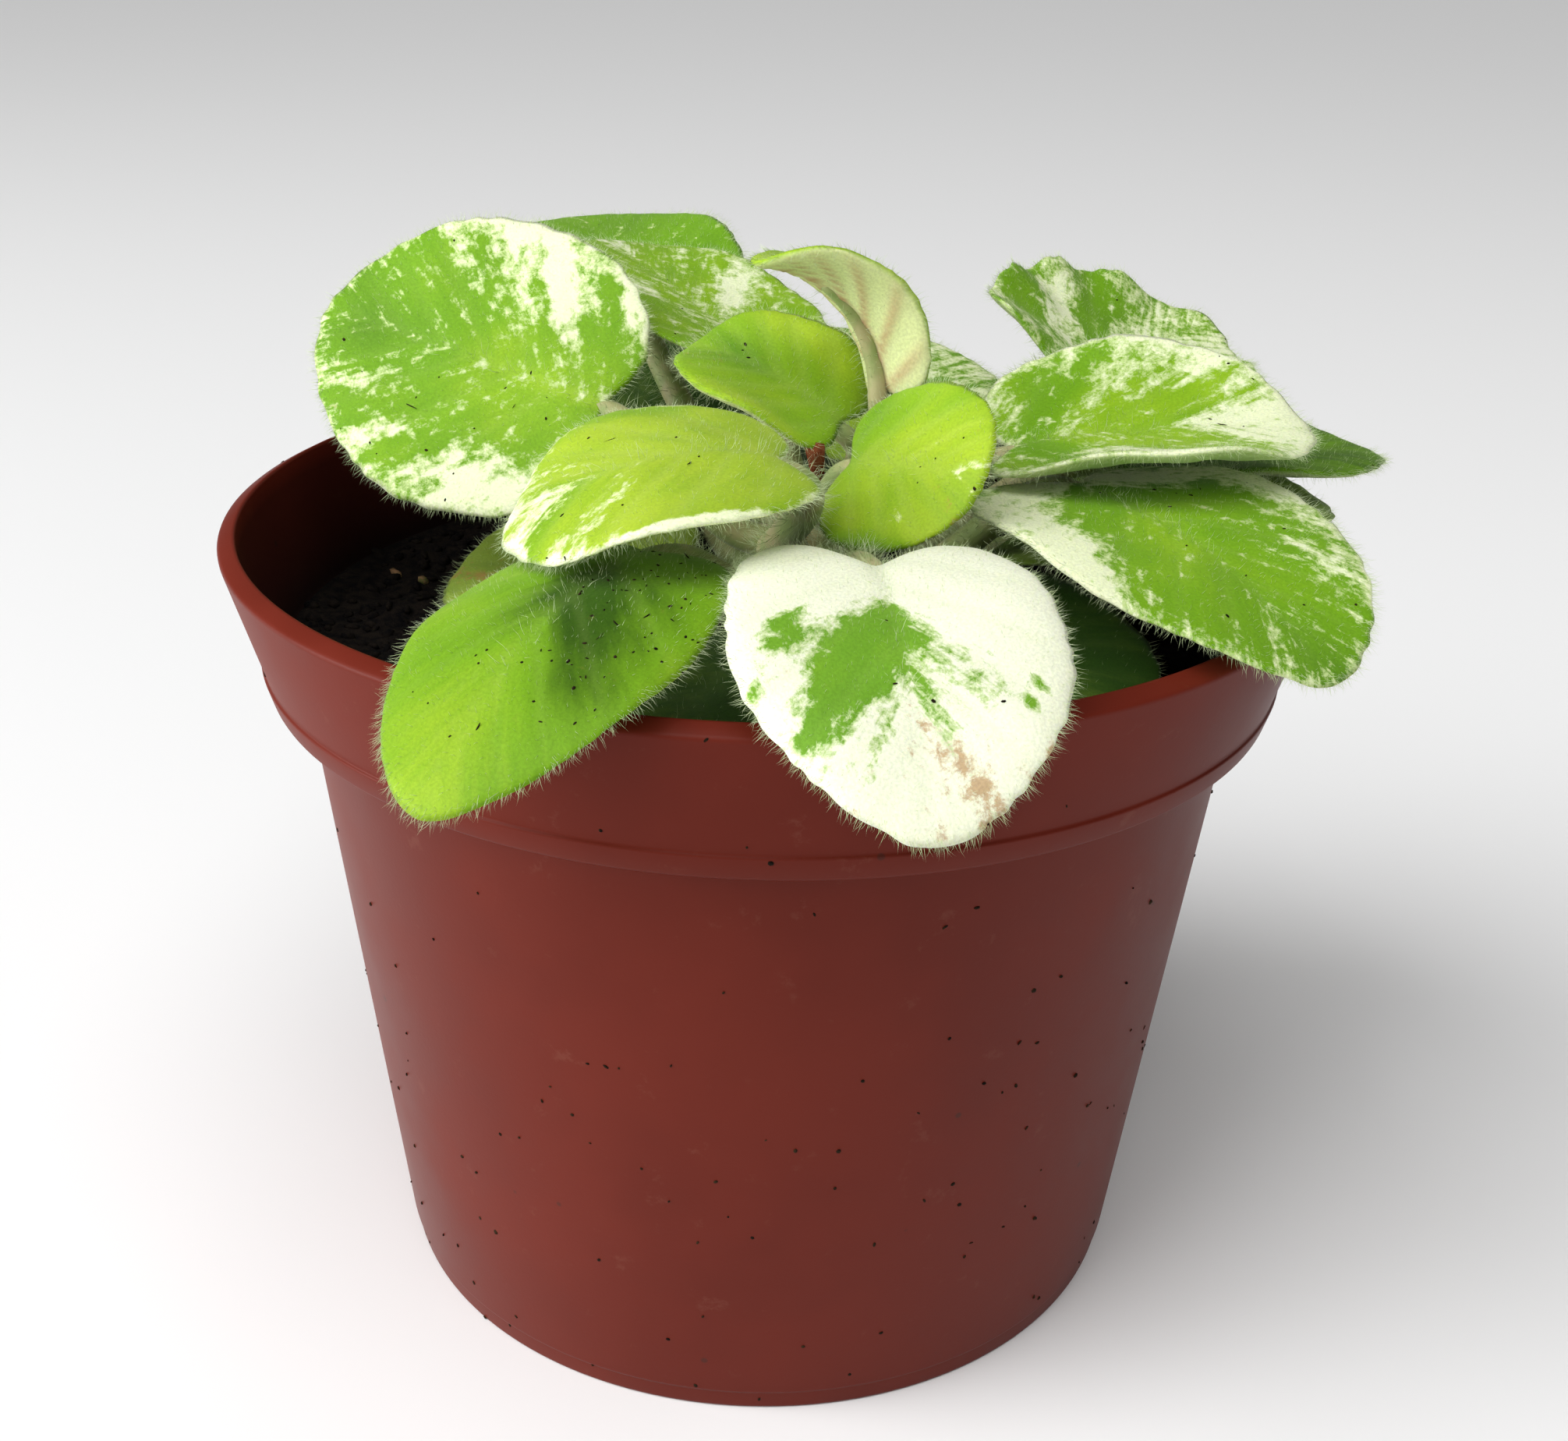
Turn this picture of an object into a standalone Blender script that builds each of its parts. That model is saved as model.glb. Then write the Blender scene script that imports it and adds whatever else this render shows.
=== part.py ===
"""A young african violet in a thin plastic flower pot.

Metres, +Z up. The origin is the middle of the pot's flat underside, and the side seen first faces -Y.
Leaf sizes and places are written in millimetres and degrees, and turned into metres where they are used.
"""

from dataclasses import dataclass
from math import atan2, cos, exp, hypot, pi, radians, sin, sqrt

import bmesh
import bpy
from mathutils import Euler, Vector, noise
from mathutils.geometry import interpolate_bezier

MM = 0.001
GAP = 0.3 * MM
MERGE = 0.001 * MM

# Pot
RIM_RADIUS = 45.0 * MM
RIM_HEIGHT = 66.2 * MM
LIP_INNER_RADIUS = 43.5 * MM
LIP_RISE = 0.8 * MM
COLLAR_FOOT_RADIUS = 41.8 * MM
COLLAR_FOOT_HEIGHT = 54.4 * MM
COLLAR_LINE_HEIGHT = 56.6 * MM
SHOULDER_RADIUS = 39.1 * MM
BASE_RADIUS = 32.9 * MM
FOOT_BAND_HEIGHT = 1.8 * MM
STEP_LINE = 0.2 * MM
WALL = 1.1 * MM
COLLAR_WALL = 1.3 * MM
LEDGE = 1.3 * MM
LEDGE_FALL = 0.5 * MM
EDGE = 0.3 * MM
FLOOR = 1.5 * MM
DRAIN_HOLES = 8
DRAIN_HOLE_RADIUS = 3.0 * MM
DRAIN_CIRCLE_RADIUS = 22.0 * MM
POT_STEPS = 60
CUTTER_REACH = 2.0 * MM

# Soil
SOIL_HEIGHT = 55.9 * MM
SOIL_RINGS = 8
SOIL_STEPS = 36
CLOD_SIZE = 6.0 * MM
CLOD_HEIGHT = 0.5 * MM

# Crown, the short stem that every petiole grows from
CROWN_PLACE = (4.0 * MM, 0.0)
CROWN_RADIUS = 4.0 * MM
CROWN_FOOT = 50.0 * MM
CROWN_SHOULDER = 64.5 * MM
SCAR_PITCH = 2.4 * MM
SCAR_DEPTH = 0.25 * MM
CROWN_STEPS = 20
DOME_RINGS = 6

# Leaves
BLADE_THICKNESS = 1.0 * MM
BLADE_ACROSS = 8
BLADE_ALONG = 10
BUD_CELLS = 4
BLADE_CENTRE = 0.45
NOTCH_SPREAD = 0.30
LOBE_ROUNDNESS = 2.3
FOLD_WIDTH = 0.12
WAVE_TURN = 1.3
NEARLY_FLAT = 1e-6
PETIOLE_START_GAP = 0.4 * MM
PETIOLE_ARC_POINTS = 7
MIDRIB_POINTS = 4
MIDRIB_REACH = 0.62
TANGENT_STEP = 0.001
MIDRIB_DROP_START = 0.9 * MM
MIDRIB_DROP_END = 0.35 * MM
MIDRIB_END_RADIUS = 0.5 * MM
PETIOLE_TAPER = 0.8
MIDRIB_TAPER = 0.75

# Colours, as linear red, green and blue
TERRACOTTA = (0.26, 0.065, 0.032)
PEAT = (0.012, 0.009, 0.007)
STEM = (0.16, 0.17, 0.05)
VARIEGATED = (0.33, 0.50, 0.14)
LIME = (0.42, 0.55, 0.07)
GREEN = (0.20, 0.42, 0.05)
CREAM = (0.66, 0.72, 0.48)
SHADED = (0.08, 0.20, 0.04)
OLIVE = (0.16, 0.22, 0.05)


@dataclass
class Leaf:
    """One leaf. Lengths are in millimetres and angles in degrees.

    notch is where the petiole meets the blade, heading the way the tip points, counted from +X to +Y,
    pitch how far the tip is raised and bank how far the left side is raised. bend rolls the tip down and
    cup rolls the sides up. fold, curl and ruffle lift the sides, the margin and its waves by that share
    of the half width. lobe is how far the blade reaches back past the notch, as a share of its length,
    and tip is 2 for a round tip and less for a pointed one. foot_heading and foot_height are where the
    petiole leaves the crown's side; with a foot_rise it leaves the crown's round top at that angle.
    leave and arrive are how stiffly the petiole keeps its direction at the crown and at the blade.
    """

    colour: tuple
    notch: tuple
    heading: float
    pitch: float
    bank: float
    length: float
    width: float
    bend: float
    cup: float
    foot_heading: float
    foot_height: float = 0.0
    foot_rise: float = 0.0
    fold: float = 0.0
    curl: float = 0.0
    lobe: float = 0.15
    tip: float = 2.0
    ruffle: float = 0.02
    waves: int = 5
    leave: float = 0.35
    arrive: float = 0.35
    petiole: float = 1.4
    bud: bool = False


LEAVES = {
    "leaf_left_large": Leaf(
        VARIEGATED, (-14.1, 0.1, 74.8), 161.5, 14.5, -49, 26.7, 27.1, 8, 1, 170, 63.5,
        curl=0.01, lobe=0.1, tip=1.71, leave=0.36, arrive=0.34,
    ),
    "leaf_left_lime": Leaf(
        LIME, (0.6, -22.6, 77.8), 194.5, 14, -3.5, 21.6, 23.8, 59, 12, -128, foot_rise=2,
        fold=-0.13, lobe=0.12, tip=1.86, arrive=0.31,
    ),
    "leaf_front_green": Leaf(
        GREEN, (-8.8, -26.6, 72.2), 242, 5, 4, 29.6, 21, 47, -19, -125.5, 61.2,
        lobe=0.1, tip=1.57, leave=0.33,
    ),
    "leaf_front_cream": Leaf(
        CREAM, (6.8, -31.6, 73.6), -81.5, -5, -0.5, 24.7, 22.4, 40, -2, -87, 62.4,
        fold=0.08, curl=-0.05, lobe=0.26, tip=1.59, arrive=0.37,
    ),
    "leaf_centre_left": Leaf(
        LIME, (5.1, -5.5, 75.5), 158, 32.5, -19, 15, 14.7, 31, 30, -21.5, foot_rise=67,
        lobe=0.1, tip=1.9, ruffle=0.04, leave=0.44, arrive=0.32, petiole=1,
    ),
    "leaf_centre_right": Leaf(
        LIME, (5.6, -12.2, 74.5), -57, 14, 51, 15, 14.5, 15, 0, -92.5, foot_rise=37,
        tip=2.1, leave=0.42, arrive=0.33, petiole=1,
    ),
    "leaf_back_wavy": Leaf(
        VARIEGATED, (24.3, 12, 77), 56, -17, 24, 26.6, 24.8, -32, 28, 43, 62.1,
        lobe=0.18, tip=1.9, ruffle=0.05, waves=9,
    ),
    "leaf_right_cupped": Leaf(
        VARIEGATED, (18.3, -6.5, 74.2), -2.5, 12.5, 10, 24, 22.9, 16, 38, 0, foot_rise=12,
        tip=1.9, waves=7, leave=0.33,
    ),
    "leaf_right_front": Leaf(
        VARIEGATED, (23.1, -10, 72), -56.5, 7.5, -0.5, 29.2, 26.8, 41, -3, -28, 61,
        fold=0.05, curl=0.03, lobe=0.2, tip=1.58,
    ),
    "leaf_centre_folded": Leaf(
        LIME, (8.5, -6.7, 78.4), 107, 77, 101.5, 16.9, 11.7, 94, 36, 25.5, foot_rise=40,
        fold=0.03, lobe=0.11, tip=1.96, leave=0.32, arrive=0.43, petiole=1,
    ),
    "leaf_back_cream": Leaf(
        VARIEGATED, (-1.7, 9.7, 77.1), 129.5, 14.5, 5.5, 23.9, 22.1, 0, 19, 126.5, foot_rise=42,
        leave=0.34, petiole=1.2,
    ),
    "leaf_back_green": Leaf(
        GREEN, (-11.4, 20.4, 76.3), 110.5, 21.5, -2.5, 26.3, 23.4, 18, 24, 127, 64,
        arrive=0.48,
    ),
    "leaf_right_dark": Leaf(
        GREEN, (27.6, 6.2, 70.4), 6.5, 1, 0, 25.3, 21.4, 5, 14, 20, 59.7,
        tip=1.8, leave=0.28, arrive=0.42,
    ),
    "leaf_low_front_right": Leaf(
        SHADED, (8.8, -13.1, 62.8), -55, 2.5, 4, 25.8, 24.6, 16, 17, -69, 58.3,
        lobe=0.18, leave=0.4, arrive=0.31, petiole=1.2,
    ),
    "leaf_low_front": Leaf(
        SHADED, (-1, -14.7, 60.3), -112, 1, 0, 26.4, 24.3, 10, 14, -104, 58.1,
        lobe=0.18, petiole=1.2,
    ),
    "leaf_low_left": Leaf(
        OLIVE, (-7.5, 0, 62.1), 187, -4, -6.5, 20.6, 20.4, 11, 14, -180, 58.5,
        tip=2.1, leave=0.27, arrive=0.3, petiole=1.2,
    ),
    "leaf_low_back_right": Leaf(
        SHADED, (7.1, 12.2, 69), 74, 13.5, 11, 25.7, 22, 12, 10, 76, 60.5,
        petiole=1.2,
    ),
    "leaf_low_right": Leaf(
        SHADED, (20.2, 1.2, 64.4), -4.5, 13, 0.5, 26.5, 25.5, 11, 15, -6.5, 57.8,
        petiole=1.2,
    ),
    "leaf_low_back_left": Leaf(
        SHADED, (-7.9, 14.4, 67.7), 140, 12.5, -8.5, 28.1, 25.8, 15, 14, 160.5, 60.7,
        leave=0.45, arrive=0.13, petiole=1.2,
    ),
    "leaf_low_back": Leaf(
        SHADED, (3, 13, 63.5), 96, 4, 0, 27, 25, 23, 11, 94.5, 58.3,
        lobe=0.18, leave=0.38, arrive=0.28, petiole=1.2,
    ),
    "leaf_bud_front": Leaf(
        LIME, (2.6, -2.5, 70.2), -140, 25, 0, 6.5, 5.5, 17, 29, -120, foot_rise=65,
        lobe=0.1, tip=1.9, ruffle=0, petiole=0.7, bud=True,
    ),
    "leaf_bud_back": Leaf(
        LIME, (5.5, 3.2, 70), 40, 31, 0, 7.5, 6, 17, 29, 60, foot_rise=62,
        lobe=0.1, tip=1.9, ruffle=0, petiole=0.7, bud=True,
    ),
}


def clear_scene():
    for obj in list(bpy.data.objects):
        bpy.data.objects.remove(obj)


def new_collection(name):
    collection = bpy.data.collections.new(name)
    bpy.context.scene.collection.children.link(collection)
    return collection


def material(name, colour, roughness, metallic=0.0):
    result = bpy.data.materials.new(name)
    result.use_nodes = True
    shader = result.node_tree.nodes["Principled BSDF"]
    shader.inputs["Base Color"].default_value = (*colour, 1.0)
    shader.inputs["Roughness"].default_value = roughness
    shader.inputs["Metallic"].default_value = metallic
    return result


def add_object(name, data, collection, finish=None):
    obj = bpy.data.objects.new(name, data)
    collection.objects.link(obj)
    if finish:
        data.materials.append(finish)
    return obj


def mesh_from(bm, name):
    mesh = bpy.data.meshes.new(name)
    bm.to_mesh(mesh)
    bm.free()
    mesh.shade_smooth()
    return mesh


def as_cutter(obj):
    obj.hide_render = True
    obj.display_type = "WIRE"
    return obj


def boolean(obj, operation, other):
    modifier = obj.modifiers.new(other.name, "BOOLEAN")
    modifier.operation = operation
    modifier.object = other


def turned(name, profile, steps, collection, finish):
    """A turned piece. The profile is (radius, height) pairs that run down its outer side."""
    mesh = bpy.data.meshes.new(name)
    points = [(radius, 0.0, height) for radius, height in profile]
    mesh.from_pydata(points, [(i, i + 1) for i in range(len(points) - 1)], [])
    obj = add_object(name, mesh, collection, finish)
    screw = obj.modifiers.new("turn", "SCREW")
    screw.steps = steps
    screw.render_steps = steps
    screw.use_merge_vertices = True
    screw.merge_threshold = MERGE
    return obj


def applied(obj):
    """Swaps the object's mesh for the one that its modifiers give."""
    graph = bpy.context.evaluated_depsgraph_get()
    mesh = bpy.data.meshes.new_from_object(obj.evaluated_get(graph))
    obj.modifiers.clear()
    obj.data = mesh
    return obj


def body_radius(height):
    """The outside of the pot's wall below the collar."""
    return BASE_RADIUS + (SHOULDER_RADIUS - BASE_RADIUS) * height / COLLAR_FOOT_HEIGHT


def collar_radius(height):
    """The outside of the collar, which leans outwards up to the rim."""
    share = (height - COLLAR_FOOT_HEIGHT) / (RIM_HEIGHT - COLLAR_FOOT_HEIGHT)
    return COLLAR_FOOT_RADIUS + (RIM_RADIUS - COLLAR_FOOT_RADIUS) * share


def pot_inside(clearance=0.0):
    """The inside of the pot from the ledge under the collar down to the floor's edge."""
    ledge = COLLAR_FOOT_HEIGHT + LEDGE
    inner = collar_radius(ledge) - COLLAR_WALL - clearance
    return [
        (inner, ledge + clearance),
        (body_radius(ledge) - WALL - clearance, ledge - LEDGE_FALL + clearance),
        (body_radius(FLOOR) - WALL - clearance, FLOOR + clearance),
    ]


def pot_profile():
    """Runs from the lip's inner edge over the rim and down the outside, then back up the inside."""
    lip_top = RIM_HEIGHT + LIP_RISE
    foot_radius = body_radius(FOOT_BAND_HEIGHT)
    outside = [
        (LIP_INNER_RADIUS, lip_top),
        (RIM_RADIUS - EDGE, RIM_HEIGHT + EDGE),
        (RIM_RADIUS, RIM_HEIGHT - EDGE),
        (collar_radius(COLLAR_LINE_HEIGHT) - STEP_LINE, COLLAR_LINE_HEIGHT),
        (collar_radius(COLLAR_LINE_HEIGHT), COLLAR_LINE_HEIGHT - STEP_LINE),
        (COLLAR_FOOT_RADIUS, COLLAR_FOOT_HEIGHT + EDGE),
        (COLLAR_FOOT_RADIUS - EDGE, COLLAR_FOOT_HEIGHT),
        (SHOULDER_RADIUS, COLLAR_FOOT_HEIGHT - EDGE),
        (foot_radius, FOOT_BAND_HEIGHT + STEP_LINE),
        (foot_radius - STEP_LINE, FOOT_BAND_HEIGHT),
        (BASE_RADIUS - STEP_LINE, 2 * EDGE),
        (BASE_RADIUS - 2 * EDGE, 0.0),
        (0.0, 0.0),
    ]
    inside = pot_inside()
    inside.insert(0, (LIP_INNER_RADIUS - EDGE, lip_top - EDGE))
    return outside + [(0.0, FLOOR)] + inside[::-1] + outside[:1]


def make_pot(parts, cutters):
    pot = turned("pot", pot_profile(), POT_STEPS, parts, material("terracotta plastic", TERRACOTTA, 0.38))
    bm = bmesh.new()
    for hole in range(DRAIN_HOLES):
        angle = 2 * pi * (hole + 0.5) / DRAIN_HOLES
        made = bmesh.ops.create_cone(
            bm,
            cap_ends=True,
            segments=16,
            radius1=DRAIN_HOLE_RADIUS,
            radius2=DRAIN_HOLE_RADIUS,
            depth=FLOOR + 2 * CUTTER_REACH,
        )
        place = Vector((DRAIN_CIRCLE_RADIUS * cos(angle), DRAIN_CIRCLE_RADIUS * sin(angle), FLOOR / 2))
        bmesh.ops.translate(bm, verts=made["verts"], vec=place)
    drains = as_cutter(add_object("drain holes", mesh_from(bm, "drain holes"), cutters))
    boolean(pot, "DIFFERENCE", drains)


def soil_profile():
    """The pot's filling, a gap clear of the pot, with rings across its top for the clods."""
    wall = pot_inside(GAP)
    rings = [(wall[0][0] * i / SOIL_RINGS, SOIL_HEIGHT) for i in range(SOIL_RINGS)]
    top_edge = (wall[0][0], SOIL_HEIGHT + GAP)
    return rings + [top_edge] + wall + [(0.0, wall[-1][1])]


def make_soil(parts, cutters):
    soil = turned("soil", soil_profile(), SOIL_STEPS, parts, material("peat", PEAT, 0.95))
    applied(soil)
    outer_ring = soil_profile()[SOIL_RINGS][0]
    for vertex in soil.data.vertices:
        radius = hypot(vertex.co.x, vertex.co.y)
        if vertex.co.z > SOIL_HEIGHT - MERGE and radius < outer_ring - MERGE:
            vertex.co.z += CLOD_HEIGHT * noise.noise(vertex.co / CLOD_SIZE)
    bm = bmesh.new()
    top = SOIL_HEIGHT + CUTTER_REACH
    bottom = CROWN_FOOT - GAP
    bmesh.ops.create_cone(
        bm,
        cap_ends=True,
        segments=CROWN_STEPS,
        radius1=CROWN_RADIUS + GAP,
        radius2=CROWN_RADIUS + GAP,
        depth=top - bottom,
    )
    hole = as_cutter(add_object("crown hole", mesh_from(bm, "crown hole"), cutters))
    hole.location = (*CROWN_PLACE, (top + bottom) / 2)
    boolean(soil, "DIFFERENCE", hole)


def make_crown(parts):
    """A stubby round-topped stem, ringed with the scars of leaves that have gone."""
    profile = [(0.0, CROWN_SHOULDER + CROWN_RADIUS)]
    for i in range(1, DOME_RINGS):
        angle = pi / 2 * (1 - i / DOME_RINGS)
        profile.append((CROWN_RADIUS * cos(angle), CROWN_SHOULDER + CROWN_RADIUS * sin(angle)))
    height = CROWN_SHOULDER
    while height > SOIL_HEIGHT:
        profile.append((CROWN_RADIUS, height))
        profile.append((CROWN_RADIUS - SCAR_DEPTH, height - SCAR_PITCH / 2))
        height -= SCAR_PITCH
    profile += [(CROWN_RADIUS, CROWN_FOOT), (0.0, CROWN_FOOT)]
    crown = turned("crown", profile, CROWN_STEPS, parts, material("stem", STEM, 0.7))
    crown.location = (*CROWN_PLACE, 0.0)


def margin_distance(leaf, angle):
    """How far the margin is from the blade's centre; angle 0 points to the tip and pi to the notch."""
    front = leaf.length * (1 - BLADE_CENTRE)
    back = leaf.length * (BLADE_CENTRE + leaf.lobe)
    reach, power = (front, leaf.tip) if cos(angle) > 0 else (back, LOBE_ROUNDNESS)
    along = abs(cos(angle) / reach) ** power
    across = abs(sin(angle) / (leaf.width / 2)) ** power
    notch = leaf.lobe / (BLADE_CENTRE + leaf.lobe) * exp(-(((pi - abs(angle)) / NOTCH_SPREAD) ** 2))
    return (along + across) ** (-1 / power) * (1 - notch)


def blade_point(leaf, share, angle, phase):
    """A point of the blade's middle surface, with the notch at the origin and the tip towards +X.

    share is 0 at the blade's centre and 1 at the margin.
    """
    distance = share * margin_distance(leaf, angle)
    x = leaf.length * BLADE_CENTRE + distance * cos(angle)
    y = distance * sin(angle)
    half = leaf.width / 2
    roll = (radians(leaf.cup) or NEARLY_FLAT) / half
    lift = (1 - cos(roll * y)) / roll
    lift += leaf.fold * (sqrt(y**2 + (FOLD_WIDTH * half) ** 2) - FOLD_WIDTH * half)
    lift += leaf.curl * half * share**4
    lift += leaf.ruffle * half * share**3 * sin(leaf.waves * angle + phase)
    arch = (radians(leaf.bend) or NEARLY_FLAT) / leaf.length
    turn = arch * x
    return Vector(
        (
            (sin(turn) / arch + lift * sin(turn)) * MM,
            sin(roll * y) / roll * MM,
            (cos(turn) / arch - 1 / arch + lift * cos(turn)) * MM,
        )
    )


def leaf_turn(leaf):
    return Euler((radians(leaf.bank), -radians(leaf.pitch), radians(leaf.heading)), "XYZ")


def make_blade(name, leaf, phase, parts, finish):
    """A square grid drawn out to a disc and then to the leaf's outline, and thickened both ways."""
    bm = bmesh.new()
    across = BUD_CELLS if leaf.bud else BLADE_ACROSS
    along = BUD_CELLS if leaf.bud else BLADE_ALONG
    bmesh.ops.create_grid(bm, x_segments=along, y_segments=across, size=1.0)
    for vertex in bm.verts:
        v, u = vertex.co.x, vertex.co.y
        x = v * sqrt(1 - u * u / 2)
        y = u * sqrt(1 - v * v / 2)
        vertex.co = blade_point(leaf, hypot(x, y), atan2(y, x), phase)
    bmesh.ops.triangulate(bm, faces=bm.faces)
    blade = add_object(name, mesh_from(bm, name), parts, finish)
    blade.location = Vector(leaf.notch) * MM
    blade.rotation_euler = leaf_turn(leaf)
    thicken = blade.modifiers.new("thickness", "SOLIDIFY")
    thicken.thickness = BLADE_THICKNESS
    thicken.offset = 0.0
    return blade


def centre_line(along):
    """The share and angle of a point on the midrib, this share of the length from the notch."""
    if along < BLADE_CENTRE:
        return (BLADE_CENTRE - along) / BLADE_CENTRE, pi
    return (along - BLADE_CENTRE) / (1 - BLADE_CENTRE), 0.0


def midrib_points(leaf, phase):
    """Points just under the midrib, from the notch outwards, and the way the petiole arrives there."""
    turn = leaf_turn(leaf).to_matrix()
    notch = Vector(leaf.notch) * MM
    side = turn @ Vector((0, 1, 0))
    points = []
    for i in range(MIDRIB_POINTS + 1):
        share = i / MIDRIB_POINTS
        along = MIDRIB_REACH * share
        near = notch + turn @ blade_point(leaf, *centre_line(along), phase)
        far = notch + turn @ blade_point(leaf, *centre_line(along + TANGENT_STEP), phase)
        ahead = (far - near).normalized()
        drop = MIDRIB_DROP_START + (MIDRIB_DROP_END - MIDRIB_DROP_START) * share
        points.append(near - ahead.cross(side).normalized() * drop)
        if i == 0:
            arriving = ahead
    return points, arriving


def petiole_route(leaf, phase):
    """(point, radius) pairs from the crown to the blade and along under the midrib."""
    under, arriving = midrib_points(leaf, phase)
    heading, rise = radians(leaf.foot_heading), radians(leaf.foot_rise)
    leaving = Vector((cos(heading) * cos(rise), sin(heading) * cos(rise), sin(rise)))
    height = CROWN_SHOULDER if leaf.foot_rise else leaf.foot_height * MM
    start = Vector((*CROWN_PLACE, height)) + leaving * (CROWN_RADIUS + PETIOLE_START_GAP)
    end = under[0]
    span = (end - start).length
    first = start + leaving * leaf.leave * span
    second = end - arriving * leaf.arrive * span
    arc = interpolate_bezier(start, first, second, end, PETIOLE_ARC_POINTS + 1)
    route = []
    for i, point in enumerate(arc):
        slimming = 1 + (PETIOLE_TAPER - 1) * i / PETIOLE_ARC_POINTS
        route.append((point, leaf.petiole * MM * slimming))
    for i in range(1, MIDRIB_POINTS + 1):
        share = (i - 1) / (MIDRIB_POINTS - 1)
        thick = MIDRIB_TAPER * leaf.petiole * MM
        route.append((under[i], thick + (min(MIDRIB_END_RADIUS, thick) - thick) * share))
    return route


def make_petiole(name, leaf, phase, cutters):
    curve = bpy.data.curves.new(name, "CURVE")
    curve.dimensions = "3D"
    curve.bevel_depth = 1.0 * MM
    curve.bevel_resolution = 1
    curve.use_fill_caps = True
    spline = curve.splines.new("POLY")
    route = petiole_route(leaf, phase)
    spline.points.add(len(route) - 1)
    for point, (place, radius) in zip(spline.points, route):
        point.co = (*place, 1.0)
        point.radius = radius / curve.bevel_depth
    tube = add_object(name, curve, cutters)
    graph = bpy.context.evaluated_depsgraph_get()
    mesh = bpy.data.meshes.new_from_object(tube.evaluated_get(graph))
    bm = bmesh.new()
    bm.from_mesh(mesh)
    bmesh.ops.remove_doubles(bm, verts=bm.verts, dist=MERGE)
    bmesh.ops.recalc_face_normals(bm, faces=bm.faces)
    petiole = add_object(name, mesh_from(bm, name), cutters)
    petiole.matrix_world = tube.matrix_world
    bpy.data.objects.remove(tube)
    return as_cutter(petiole)


def make_leaf(index, name, leaf, parts, cutters):
    phase = WAVE_TURN * index
    finish = material(name.replace("_", " "), leaf.colour, 0.6)
    blade = make_blade(name, leaf, phase, parts, finish)
    boolean(blade, "UNION", make_petiole(name + " petiole", leaf, phase, cutters))


def main():
    clear_scene()
    parts = new_collection("potted african violet")
    cutters = new_collection("cutters")
    make_pot(parts, cutters)
    make_soil(parts, cutters)
    make_crown(parts)
    for index, (name, leaf) in enumerate(LEAVES.items()):
        make_leaf(index, name, leaf, parts, cutters)


if __name__ == "__main__":
    main()
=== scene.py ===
"""The looks of a young potted african violet: velvety variegated leaves on hairy petioles, dark peat and a
thin terracotta plastic pot.

Metres, +Z up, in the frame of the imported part. Leaf sizes are written in millimetres and degrees, as in the
part's own source, and become metres when a mesh is made.
"""

from dataclasses import dataclass
from math import cos, hypot, pi, radians, sin

import bmesh
import bpy
import numpy as np
from mathutils import Euler, Matrix, Vector, noise
from mathutils.geometry import interpolate_bezier


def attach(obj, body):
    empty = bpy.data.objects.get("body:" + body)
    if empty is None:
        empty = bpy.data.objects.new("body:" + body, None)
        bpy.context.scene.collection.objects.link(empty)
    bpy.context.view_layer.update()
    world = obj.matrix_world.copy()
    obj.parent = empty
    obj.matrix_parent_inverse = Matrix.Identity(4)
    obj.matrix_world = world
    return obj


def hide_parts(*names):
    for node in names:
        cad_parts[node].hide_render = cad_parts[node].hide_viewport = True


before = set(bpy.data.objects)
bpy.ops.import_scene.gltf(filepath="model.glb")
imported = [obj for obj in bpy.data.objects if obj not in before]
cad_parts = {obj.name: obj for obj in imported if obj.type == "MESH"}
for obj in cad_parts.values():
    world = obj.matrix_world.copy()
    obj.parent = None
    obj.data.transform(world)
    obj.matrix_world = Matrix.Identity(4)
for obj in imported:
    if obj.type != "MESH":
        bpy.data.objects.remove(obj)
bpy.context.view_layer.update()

MM = 0.001
BODY = "root"

# Camera, as the photograph was taken: close by, looking down over the rim
CAMERA_BACK = 156.6 * MM
CAMERA_HEIGHT = 118.4 * MM
CAMERA_PITCH = radians(24.43)
CAMERA_YAW = radians(0.46)
CAMERA_ROLL = radians(1.53)
CAMERA_LENS = 45.17
SENSOR_WIDTH = 36.0

# Pot
RIM_RADIUS = 45.0 * MM
RIM_HEIGHT = 66.2 * MM
LIP_INNER_RADIUS = 43.5 * MM
LIP_RISE = 0.8 * MM
COLLAR_FOOT_RADIUS = 41.8 * MM
COLLAR_FOOT_HEIGHT = 54.4 * MM
COLLAR_LINE_HEIGHT = 56.6 * MM
SHOULDER_RADIUS = 39.1 * MM
BASE_RADIUS = 32.9 * MM
FOOT_BAND_HEIGHT = 1.8 * MM
STEP_LINE = 0.2 * MM
WALL = 1.1 * MM
COLLAR_WALL = 1.3 * MM
LEDGE = 1.3 * MM
LEDGE_FALL = 0.5 * MM
FLOOR = 1.5 * MM
DRAIN_HOLES = 8
DRAIN_HOLE_RADIUS = 3.0 * MM
DRAIN_CIRCLE_RADIUS = 22.0 * MM
POT_STEPS = 192
EDGE_ROUNDING = 0.35 * MM
ROUNDING_STEPS = 3

# Soil
SOIL_HEIGHT = 55.9 * MM
SOIL_GAP = 0.3 * MM
SOIL_RINGS = 64
SOIL_STEPS = 200
CLOD_SIZE = 5.0 * MM
CLOD_HEIGHT = 0.9 * MM
CRUMB_SIZE = 1.3 * MM
CRUMB_HEIGHT = 0.55 * MM

# Crown
CROWN_PLACE = (4.0 * MM, 0.0)
CROWN_RADIUS = 4.0 * MM
CROWN_SHOULDER = 64.5 * MM

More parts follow.
